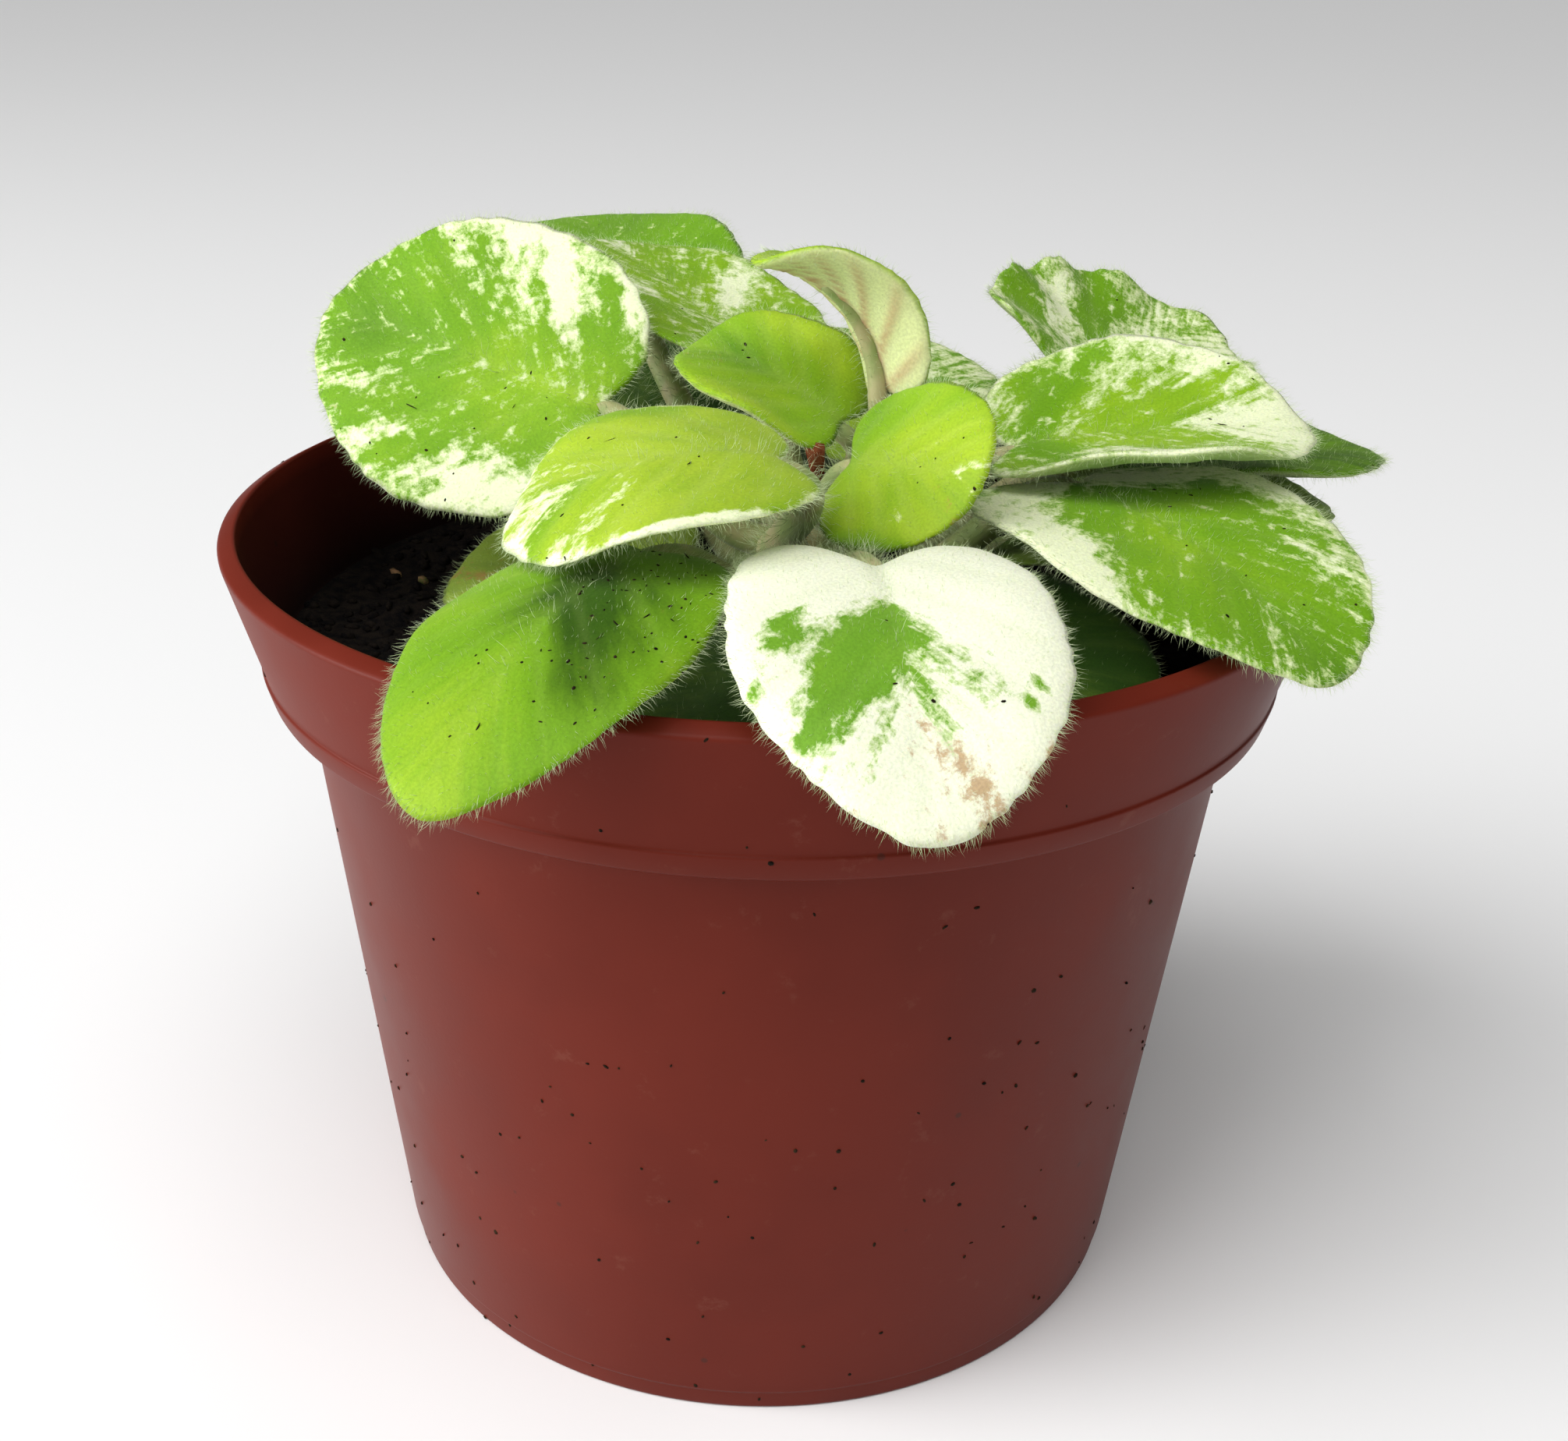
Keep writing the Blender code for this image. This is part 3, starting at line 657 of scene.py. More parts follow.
def blade_mesh(name, leaf, look, seed):
    """A closed blade with rounded margins, quilted above and veined below, with what its material reads."""
    phase = WAVE_TURN * seed
    x, y, share = leaf_grid(leaf, look, phase)
    shape = x.shape
    rim = np.zeros(shape, bool)
    rim[0, :] = rim[-1, :] = rim[:, 0] = rim[:, -1] = True
    middle = middle_surface(leaf, phase, x, y)
    normals = surface_normals(leaf, phase, x, y)
    side, midrib, quilt = veins(leaf, x, y, share)
    half = 0.5 * THICKNESS * np.sqrt(np.clip(1 - share**EDGE_SHARPNESS, 0, 1))
    swell = 0.12 * np.sin(0.55 * x + phase) * np.cos(0.5 * y - phase) * (1 - share**2)
    above = half + QUILT_HEIGHT * quilt - VEIN_GROOVE * side - MIDRIB_GROOVE * midrib + swell
    below = half + UNDER_VEIN_RISE * side + 0.5 * UNDER_VEIN_RISE * midrib - swell
    above, below = np.where(rim, 0, above), np.where(rim, 0, below)
    top = middle + normals * above[..., None]
    bottom = middle - normals * below[..., None]
    number = np.arange(x.size).reshape(shape)
    under_number = number.copy()
    under_number[~rim] = x.size + np.arange((~rim).sum())
    points = placed(leaf, np.concatenate([top.reshape(-1, 3), bottom[~rim]]))
    faces = np.concatenate([grid_faces(*shape, number), grid_faces(*shape, under_number)[:, ::-1]])
    mesh = bpy.data.meshes.new(name)
    mesh.from_pydata(points.tolist(), [], faces.tolist())

    def both(values):
        return np.concatenate([values.reshape(-1), values[~rim]])

    along, across = both(x) / leaf.length, both(y) / (leaf.width / 2)
    outward = both(share)
    under = np.concatenate([np.zeros(x.size), np.ones((~rim).sum())])
    start = vein_start(along, across)
    spot = np.full_like(along, 10.0 * seed)
    add_attribute(mesh, "place", "FLOAT_VECTOR", np.stack([both(x), both(y), spot], axis=-1))
    add_attribute(mesh, "streak", "FLOAT_VECTOR", np.stack([start * leaf.length, both(y), spot], axis=-1))
    cream = look.cream + patch_sum(look.cream_patches, along, across) + look.margin_cream * outward**14
    add_attribute(mesh, "cream", "FLOAT", cream)
    add_attribute(mesh, "tone", "FLOAT", look.tone + patch_sum(look.tone_patches, along, across))
    add_attribute(mesh, "blush", "FLOAT", patch_sum(look.blush_patches, along, across))
    add_attribute(mesh, "vein", "FLOAT", np.clip(both(side) + both(midrib), 0, 1))
    add_attribute(mesh, "under", "FLOAT", under)
    add_attribute(mesh, "pink", "FLOAT", np.full_like(along, look.pink))
    fringe = np.clip((outward - FRINGE_START) / (1 - FRINGE_START), 0, 1)
    add_attribute(mesh, "fuzz", "FLOAT", np.where(under > 0, UNDERSIDE_HAIRINESS, 1.0))
    add_attribute(mesh, "fringe", "FLOAT", fringe)
    add_attribute(mesh, "specks", "FLOAT", patch_sum(look.speck_patches, along, across) * (under < 0.5))
    away = outward_directions(leaf, phase, x, y)
    above_way = normals * (1 - 0.8 * share[..., None] ** 12) + away * (0.25 + share[..., None] ** 12)
    below_way = -normals + 0.25 * away
    ways = np.concatenate([above_way.reshape(-1, 3), below_way[~rim]])
    ways[fringe > 0.5] = np.concatenate([away.reshape(-1, 3), away[~rim]])[fringe > 0.5]
    add_attribute(mesh, "growth", "FLOAT_VECTOR", placed(leaf, ways) - placed(leaf, np.zeros(3)))
    mesh.shade_smooth()
    return mesh


def centre_line(leaf, phase, along):
    """A point of the blade's midrib line in the row frame, this share of the length from the notch."""
    flat = np.array([along * leaf.length])
    return Vector(placed(leaf, middle_surface(leaf, phase, flat, np.zeros(1)))[0])


def petiole_route(leaf, phase):
    """(point, radius) pairs from the crown to the blade and along under the midrib."""
    side = leaf_matrix(leaf).to_3x3().normalized() @ Vector((0, 1, 0))
    under = []
    for i in range(MIDRIB_POINTS + 1):
        share = i / MIDRIB_POINTS
        near = centre_line(leaf, phase, MIDRIB_REACH * share)
        ahead = (centre_line(leaf, phase, MIDRIB_REACH * share + TANGENT_STEP) - near).normalized()
        drop = MIDRIB_DROP_START + (MIDRIB_DROP_END - MIDRIB_DROP_START) * share
        under.append(near - ahead.cross(side).normalized() * drop * MM)
        if i == 0:
            arriving = ahead
    heading, rise = radians(leaf.foot_heading), radians(leaf.foot_rise)
    leaving = Vector((cos(heading) * cos(rise), sin(heading) * cos(rise), sin(rise)))
    height = CROWN_SHOULDER if leaf.foot_rise else leaf.foot_height * MM
    start = Vector((*CROWN_PLACE, height)) + leaving * (CROWN_RADIUS + PETIOLE_START_GAP)
    span = (under[0] - start).length
    first = start + leaving * leaf.leave * span
    second = under[0] - arriving * leaf.arrive * span
    arc = interpolate_bezier(start, first, second, under[0], PETIOLE_ARC_POINTS + 1)
    thick = leaf.petiole * MM
    route = [(arc[0] - leaving * 2 * PETIOLE_START_GAP, thick)]
    for i, point in enumerate(arc):
        route.append((point, thick * (1 + (PETIOLE_TAPER - 1) * i / PETIOLE_ARC_POINTS)))
    for i in range(1, MIDRIB_POINTS + 1):
        share = i / MIDRIB_POINTS
        slim = MIDRIB_TAPER * thick
        route.append((under[i], slim + (min(MIDRIB_END_RADIUS, slim) - slim) * share))
    return route


def tube_mesh(name, route, sides):
    """A closed tube along the route, its rings carried on without twist, with rounded ends."""
    points = [point for point, _ in route]
    tangents = []
    for i in range(len(points)):
        tangents.append((points[min(i + 1, len(points) - 1)] - points[max(i - 1, 0)]).normalized())
    across = tangents[0].orthogonal().normalized()
    bm = bmesh.new()
    rings = []
    for i, (point, radius) in enumerate(route):
        across = (across - tangents[i] * across.dot(tangents[i])).normalized()
        second = tangents[i].cross(across)
        ring = []
        for j in range(sides):
            angle = 2 * pi * j / sides
            ring.append(bm.verts.new(point + (across * cos(angle) + second * sin(angle)) * radius))
        rings.append(ring)
    for ring, after in zip(rings, rings[1:]):
        for j in range(sides):
            bm.faces.new((ring[j], ring[(j + 1) % sides], after[(j + 1) % sides], after[j]))
    for ring, tangent, sense in ((rings[0], tangents[0], -1), (rings[-1], tangents[-1], 1)):
        middle = sum((v.co for v in ring), Vector()) / sides
        radius = (ring[0].co - middle).length
        pole = bm.verts.new(middle + tangent * sense * radius * 0.6)
        for j in range(sides):
            pair = (ring[j], ring[(j + 1) % sides])
            bm.faces.new((*pair[::-1], pole) if sense < 0 else (*pair, pole))
    bmesh.ops.recalc_face_normals(bm, faces=bm.faces)
    mesh = bpy.data.meshes.new(name)
    bm.to_mesh(mesh)
    bm.free()
    mesh.shade_smooth()
    add_even_growth(mesh)
    return mesh


def geometry_tree(name, inputs):
    """A Geometry Nodes tree with a surface going in and geometry coming out, and these named inputs."""
    tree = bpy.data.node_groups.new(name, "GeometryNodeTree")
    tree.interface.new_socket("Surface", in_out="INPUT", socket_type="NodeSocketGeometry")
    for title, kind in inputs:
        tree.interface.new_socket(title, in_out="INPUT", socket_type=kind)
    tree.interface.new_socket("Geometry", in_out="OUTPUT", socket_type="NodeSocketGeometry")
    return tree, tree.nodes.new("NodeGroupInput").outputs, tree.nodes.new("NodeGroupOutput").inputs


def random_between(tree, low, high, seed, kind="FLOAT"):
    """A random value for each point."""
    node = put(tree, "FunctionNodeRandomValue", {"Seed": seed}, data_type=kind)
    first, last, out = {"FLOAT": (2, 3, 1), "FLOAT_VECTOR": (0, 1, 0)}[kind]
    node.inputs[first].default_value = low
    node.inputs[last].default_value = high
    return node.outputs[out]


def scatter(tree, given, shape, turn, size, along_growth):
    """Sets the shape on random points of the surface, thicker where the named attribute says so."""
    thickness = put(tree, "GeometryNodeInputNamedAttribute", {"Name": given["Where"]}, data_type="FLOAT")
    density = put(
        tree, "ShaderNodeMath", {0: given["Density"], 1: thickness.outputs["Attribute"]}, operation="MULTIPLY"
    )
    points = put(
        tree,
        "GeometryNodeDistributePointsOnFaces",
        {"Mesh": given["Surface"], "Seed": given["Seed"]},
        distribute_method="RANDOM",
    )
    tree.links.new(density.outputs[0], points.inputs["Density"])
    standing = points.outputs["Rotation"]
    if along_growth:
        growth = put(tree, "GeometryNodeInputNamedAttribute", {"Name": "growth"}, data_type="FLOAT_VECTOR")
        standing = put(
            tree,
            "FunctionNodeAlignRotationToVector",
            {"Rotation": standing, "Vector": growth.outputs["Attribute"]},
            axis="Z",
        ).outputs[0]
    local = put(tree, "FunctionNodeEulerToRotation", {0: turn})
    turned = put(tree, "FunctionNodeRotateRotation", {0: standing, 1: local.outputs[0]}, rotation_space="LOCAL")
    copies = put(
        tree,
        "GeometryNodeInstanceOnPoints",
        {"Points": points.outputs["Points"], "Instance": shape, "Rotation": turned.outputs[0], "Scale": size},
    )
    real = put(tree, "GeometryNodeRealizeInstances", {0: copies.outputs["Instances"]})
    return put(
        tree, "GeometryNodeSetMaterial", {"Geometry": real.outputs[0], "Material": given["Material"]}
    ).outputs[0]


SCATTER_INPUTS = [
    ("Where", "NodeSocketString"),
    ("Density", "NodeSocketFloat"),
    ("Seed", "NodeSocketInt"),
    ("Material", "NodeSocketMaterial"),
]


def hair_tree():
    """Fine bent hairs standing on a surface."""
    inputs = SCATTER_INPUTS + [("Length", "NodeSocketFloat"), ("Radius", "NodeSocketFloat")]
    tree, given, out = geometry_tree("leaf hairs", inputs)
    cone = put(
        tree,
        "GeometryNodeMeshCone",
        {
            "Vertices": 3,
            "Side Segments": 2,
            "Radius Top": 0.0,
            "Radius Bottom": given["Radius"],
            "Depth": given["Length"],
        },
        fill_type="NGON",
    )
    position = put(tree, "GeometryNodeInputPosition")
    height = put(tree, "ShaderNodeSeparateXYZ", {0: position.outputs[0]}).outputs["Z"]
    share = put(tree, "ShaderNodeMath", {0: height, 1: given["Length"]}, operation="DIVIDE").outputs[0]
    bent = put(tree, "ShaderNodeMath", {0: share, 1: share}, operation="MULTIPLY").outputs[0]
    lean = put(tree, "ShaderNodeMath", {0: bent, 1: given["Length"]}, operation="MULTIPLY").outputs[0]
    lean = put(tree, "ShaderNodeMath", {0: lean, 1: 0.28}, operation="MULTIPLY").outputs[0]
    offset = put(tree, "ShaderNodeCombineXYZ", {"X": lean})
    hair = put(
        tree, "GeometryNodeSetPosition", {"Geometry": cone.outputs["Mesh"], "Offset": offset.outputs[0]}
    ).outputs[0]
    turn = random_between(tree, (-0.4, -0.4, 0.0), (0.4, 0.4, 2 * pi), given["Seed"], "FLOAT_VECTOR")
    size = random_between(tree, 0.45, 1.15, given["Seed"])
    tree.links.new(scatter(tree, given, hair, turn, size, True), out[0])
    return tree


def crumb_tree():
    """Small broken lumps lying on a surface."""
    tree, given, out = geometry_tree("crumbs", SCATTER_INPUTS + [("Size", "NodeSocketVector")])
    ball = put(tree, "GeometryNodeMeshIcoSphere", {"Radius": 1.0, "Subdivisions": 1})
    lump = put(
        tree, "GeometryNodeTransform", {"Geometry": ball.outputs["Mesh"], "Scale": given["Size"]}
    ).outputs[0]
    turn = random_between(tree, (-0.3, -0.3, 0.0), (0.3, 0.3, 2 * pi), given["Seed"], "FLOAT_VECTOR")
    size = random_between(tree, (0.35, 0.35, 0.35), (1.35, 1.35, 1.35), given["Seed"], "FLOAT_VECTOR")
    tree.links.new(scatter(tree, given, lump, turn, size, False), out[0])
    return tree


def grown(name, surface, tree, **values):
    """The plain mesh object that a tree makes on a copy of the surface's mesh."""
    obj = mesh_object(name, surface.data.copy())
    modifier = obj.modifiers.new(tree.name, "NODES")
    modifier.node_group = tree
    for item in tree.interface.items_tree:
        if item.in_out == "INPUT" and item.name in values:
            modifier[item.identifier] = values[item.name]
    applied(obj)
    obj.data.shade_smooth()
    return obj


def leaf_colouring():
    """Colour and height of leaf tissue: green tones, mottling drawn out along the veins, blemishes and veins."""
    kinds = [("Dark", (0.10, 0.24, 0.012)), ("Green", (0.150, 0.335, 0.008)), ("Lime", (0.27, 0.46, 0.014))]
    kinds += [("Cream", (0.80, 0.86, 0.56)), ("Blush", (0.42, 0.22, 0.07)), ("Underside", (0.42, 0.50, 0.22))]
    sockets = [(title, "NodeSocketColor", colour(*value)) for title, value in kinds]
    group, given, out = shader_group(
        "leaf colouring", sockets, [("Colour", "NodeSocketColor"), ("Height", "NodeSocketFloat")]
    )
    place = attribute(group, "place").outputs["Vector"]
    streak = attribute(group, "streak").outputs["Vector"]
    drawn = noise_at(group, scaled(group, streak, (1 / 1.3, 1 / 3.4, 1.0)), 4.0, 0.62, 0.3)
    flecks = noise_at(group, scaled(group, place, (1 / 1.3, 1 / 1.3, 1.0)), 6.0, 0.78, 0.25)
    broad = noise_at(group, scaled(group, place, (1 / 7.0, 1 / 7.0, 1.0)), 1.0, 0.5)
    grain = noise_at(group, scaled(group, place, (1 / 0.22, 1 / 0.22, 1.0)), 2.0, 0.6)

    tone = math(group, "ADD", attribute(group, "tone").outputs["Fac"], math(group, "SUBTRACT", broad, 0.5))
    tone = math(group, "ADD", tone, math(group, "MULTIPLY", math(group, "SUBTRACT", drawn, 0.5), 0.9))
    greens = blended(group, between(group, tone, -1.1, 0.1), given["Dark"], given["Green"])
    greens = blended(group, between(group, tone, -0.1, 1.1), greens, given["Lime"])

    mottle = math(group, "MULTIPLY", math(group, "SUBTRACT", drawn, 0.5), DRAWN_MOTTLING)
    fine = math(group, "MULTIPLY", math(group, "SUBTRACT", flecks, 0.5), FINE_MOTTLING)
    mottle = math(group, "ADD", attribute(group, "cream").outputs["Fac"], math(group, "ADD", mottle, fine))
    half_cream = blended(group, 0.45, given["Lime"], given["Cream"])
    tissue = blended(group, between(group, mottle, -0.11, 0.03), greens, half_cream)
    tissue = blended(group, between(group, mottle, 0.0, 0.14), tissue, given["Cream"])

    vein = attribute(group, "vein").outputs["Fac"]
    pale_vein = blended(group, 0.5, given["Lime"], given["Underside"])
    tissue = blended(group, math(group, "MULTIPLY", vein, 0.10), tissue, pale_vein)

    blotch = math(group, "MULTIPLY", math(group, "SUBTRACT", flecks, 0.5), 1.6)
    blush = math(group, "ADD", attribute(group, "blush").outputs["Fac"], blotch)
    blush = math(group, "MULTIPLY", between(group, blush, 0.20, 0.50), 0.75)
    tissue = blended(group, blush, tissue, given["Blush"])

    pinkness = math(group, "MULTIPLY", vein, attribute(group, "pink").outputs["Fac"])
    below = blended(group, math(group, "MULTIPLY", pinkness, 0.95), given["Underside"], colour(0.50, 0.21, 0.16))
    tissue = blended(group, math(group, "MULTIPLY", attribute(group, "under").outputs["Fac"], 0.8), tissue, below)

    speckle = between(group, grain, 0.3, 0.7, 0.90, 1.07)
    shade = put(group, "ShaderNodeCombineXYZ", {0: speckle, 1: speckle, 2: speckle}).outputs[0]
    tissue = blended(group, 1.0, tissue, shade, "MULTIPLY")
    group.links.new(tissue, out["Colour"])

    pebbles = put(
        group,
        "ShaderNodeTexVoronoi",
        {"Vector": scaled(group, place, (1 / 0.55, 1 / 0.55, 1.0)), "Scale": 1.0, "Smoothness": 0.8},
        feature="SMOOTH_F1",
    ).outputs["Distance"]
    height = math(group, "ADD", math(group, "MULTIPLY", pebbles, -0.6), math(group, "MULTIPLY", grain, 0.5))
    group.links.new(height, out["Height"])
    return group


def leaf_finish(name, group, colours):
    """One leaf material: the shared colouring with its own greens, under a velvety sheen."""
    finish, tree, shader = material(name, 0.5)
    inputs = {title: colour(*value) for title, value in colours.items()}
    tissue = put(tree, "ShaderNodeGroup", node_tree=group)
    for title, value in inputs.items():
        tissue.inputs[title].default_value = value
    bump = put(
        tree, "ShaderNodeBump", {"Height": tissue.outputs["Height"], "Strength": 0.35, "Distance": 0.12 * MM}
    )
    tree.links.new(tissue.outputs["Colour"], shader.inputs["Base Color"])
    tree.links.new(bump.outputs["Normal"], shader.inputs["Normal"])
    shader.inputs["Sheen Weight"].default_value = 0.06
    shader.inputs["Sheen Roughness"].default_value = 0.45
    shader.inputs["Specular IOR Level"].default_value = 0.12
    shader.inputs["Subsurface Weight"].default_value = 0.25
    shader.inputs["Subsurface Radius"].default_value = (0.8, 1.0, 0.25)
    shader.inputs["Subsurface Scale"].default_value = 0.9 * MM
    return finish


def make_leaf_finishes():
    group = leaf_colouring()
    # The shaded leaf finish has far darker Dark and Green than the others: painted shade for the low leaves lying
    # under the rosette.
    shaded = {"Dark": (0.022, 0.06, 0.008), "Green": (0.045, 0.115, 0.015), "Lime": (0.28, 0.40, 0.05)}
    greens = {"Dark": (0.030, 0.085, 0.002), "Green": (0.15, 0.32, 0.008), "Lime": (0.28, 0.44, 0.020)}
    return {
        "leaf_variegated": leaf_finish("variegated leaf", group, {}),
        "leaf_lime": leaf_finish("lime leaf", group, {"Green": (0.20, 0.37, 0.012), "Lime": (0.36, 0.50, 0.025), "Underside": (0.80, 0.83, 0.46)}),
        "leaf_green": leaf_finish("green leaf", group, greens),
        "leaf_cream": leaf_finish("cream leaf", group, {"Cream": (0.83, 0.86, 0.66), "Green": (0.15, 0.34, 0.02)}),
        "leaf_shaded": leaf_finish("shaded leaf", group, shaded),
    }


def stem_finish():
    finish, tree, shader = material("stem", 0.6)
    place = put(tree, "ShaderNodeTexCoord").outputs["Object"]
    blotch = noise_at(tree, place, 3.0, 0.6, size=260.0)
    fine = noise_at(tree, place, 2.0, 0.6, size=1800.0)
    tint = blended(tree, between(tree, blotch, 0.35, 0.65), colour(0.24, 0.32, 0.09), colour(0.40, 0.36, 0.17))
    tree.links.new(tint, shader.inputs["Base Color"])
    bump = put(tree, "ShaderNodeBump", {"Height": fine, "Strength": 0.4, "Distance": 0.1 * MM})
    tree.links.new(bump.outputs["Normal"], shader.inputs["Normal"])
    shader.inputs["Sheen Weight"].default_value = 0.2
    return finish


def hair_finish():
    finish, tree, shader = material("leaf hair", 0.45)
    place = put(tree, "ShaderNodeTexCoord").outputs["Object"]
    drift = noise_at(tree, place, 1.0, size=500.0)
    tint = blended(tree, drift, colour(0.48, 0.63, 0.25), colour(0.76, 0.84, 0.58))
    tree.links.new(tint, shader.inputs["Base Color"])
    return finish


def crumb_finish(name, first, second):
    finish, tree, shader = material(name, 0.9)
    place = put(tree, "ShaderNodeTexCoord").outputs["Object"]
    mix = noise_at(tree, place, 4.0, 0.7, size=900.0)
    tree.links.new(blended(tree, between(tree, mix, 0.35, 0.65), first, second), shader.inputs["Base Color"])
    bump = put(tree, "ShaderNodeBump", {"Height": mix, "Strength": 0.8, "Distance": 0.3 * MM})
    tree.links.new(bump.outputs["Normal"], shader.inputs["Normal"])
    shader.inputs["Specular IOR Level"].default_value = 0.08
    return finish


def plastic_finish():
    """Satin terracotta plastic, faintly clouded and dusty low down; inside, below the rim, it goes nearly black,
    partly stained by peat and partly painted shade.
    """
    finish, tree, shader = material("terracotta plastic", 0.4)
    place = put(tree, "ShaderNodeTexCoord").outputs["Object"]
    cloud = noise_at(tree, place, 3.0, 0.55, size=45.0)
    grain = noise_at(tree, place, 2.0, 0.6, size=2600.0)
    tint = blended(tree, between(tree, cloud, 0.3, 0.7), colour(0.108, 0.0125, 0.0058), colour(0.132, 0.0165, 0.0082))
    dust = between(tree, noise_at(tree, place, 5.0, 0.7, size=300.0), 0.60, 0.72)
    tint = blended(tree, math(tree, "MULTIPLY", dust, 0.06), tint, colour(0.40, 0.22, 0.15))
    specks = put(tree, "ShaderNodeTexVoronoi", {"Vector": place, "Scale": 260.0, "Randomness": 1.0})
    dot = between(tree, specks.outputs["Distance"], 0.05, 0.09, 1.0, 0.0)
    rare = put(tree, "ShaderNodeSeparateColor", {0: specks.outputs["Color"]}).outputs[0]
    dot = math(tree, "MULTIPLY", dot, math(tree, "GREATER_THAN", rare, 0.86))
    tint = blended(tree, math(tree, "MULTIPLY", dot, 0.7), tint, colour(0.05, 0.015, 0.01))
    # Inside, from just below the rim down, the colour goes nearly black: partly stained by peat and partly painted
    # shade of the pot's hollow under the leaves.
    peat_stain_and_shade = attribute(tree, "inside").outputs["Fac"]
    tint = blended(tree, math(tree, "MULTIPLY", peat_stain_and_shade, 0.97), tint, colour(0.003, 0.001, 0.001))
    tree.links.new(tint, shader.inputs["Base Color"])
    gloss = between(tree, cloud, 0.3, 0.7, 0.36, 0.46)
    tree.links.new(math(tree, "ADD", gloss, math(tree, "MULTIPLY", peat_stain_and_shade, 0.35)), shader.inputs["Roughness"])
    bump = put(tree, "ShaderNodeBump", {"Height": grain, "Strength": 0.12, "Distance": 0.05 * MM})
    tree.links.new(bump.outputs["Normal"], shader.inputs["Normal"])
    shader.inputs["Specular IOR Level"].default_value = 0.10
    return finish


def rounded_corners(corners, radius, steps):
    """The line through the corners with each one rounded, as far as its sides leave room."""
    line = [corners[0]]
    for before, corner, after in zip(corners, corners[1:], corners[2:]):
        back, on = Vector(before) - Vector(corner), Vector(after) - Vector(corner)
        cut = min(radius, 0.45 * back.length, 0.45 * on.length)
        first = Vector(corner) + back.normalized() * cut
        last = Vector(corner) + on.normalized() * cut
        for i in range(steps + 1):
            share = i / steps
            bow = (1 - share) ** 2 * first + 2 * share * (1 - share) * Vector(corner) + share**2 * last
            line.append(tuple(bow))
    line.append(corners[-1])
    return line


def body_radius(height):
    """The outside of the pot's wall below the collar."""
    return BASE_RADIUS + (SHOULDER_RADIUS - BASE_RADIUS) * height / COLLAR_FOOT_HEIGHT


def collar_radius(height):
    """The outside of the collar, which leans outwards up to the rim."""
    share = (height - COLLAR_FOOT_HEIGHT) / (RIM_HEIGHT - COLLAR_FOOT_HEIGHT)
    return COLLAR_FOOT_RADIUS + (RIM_RADIUS - COLLAR_FOOT_RADIUS) * share


def pot_inside(clearance=0.0):
    """The inside of the pot from the ledge under the collar down to the floor's edge."""
    ledge = COLLAR_FOOT_HEIGHT + LEDGE
    inner = collar_radius(ledge) - COLLAR_WALL - clearance
    return [
        (inner, ledge + clearance),
        (body_radius(ledge) - WALL - clearance, ledge - LEDGE_FALL + clearance),
        (body_radius(FLOOR) - WALL - clearance, FLOOR + clearance),
    ]


def turned_mesh(name, profile, steps):
    """A surface turned round the Z axis from (radius, height) pairs that run down its outer side."""
    mesh = bpy.data.meshes.new(name)
    points = [(radius, 0.0, height) for radius, height in profile]
    mesh.from_pydata(points, [(i, i + 1) for i in range(len(points) - 1)], [])
    obj = mesh_object(name, mesh)
    screw = obj.modifiers.new("turn", "SCREW")
    screw.steps = screw.render_steps = steps
    screw.use_merge_vertices = True
    screw.merge_threshold = 0.001 * MM
    return applied(obj)


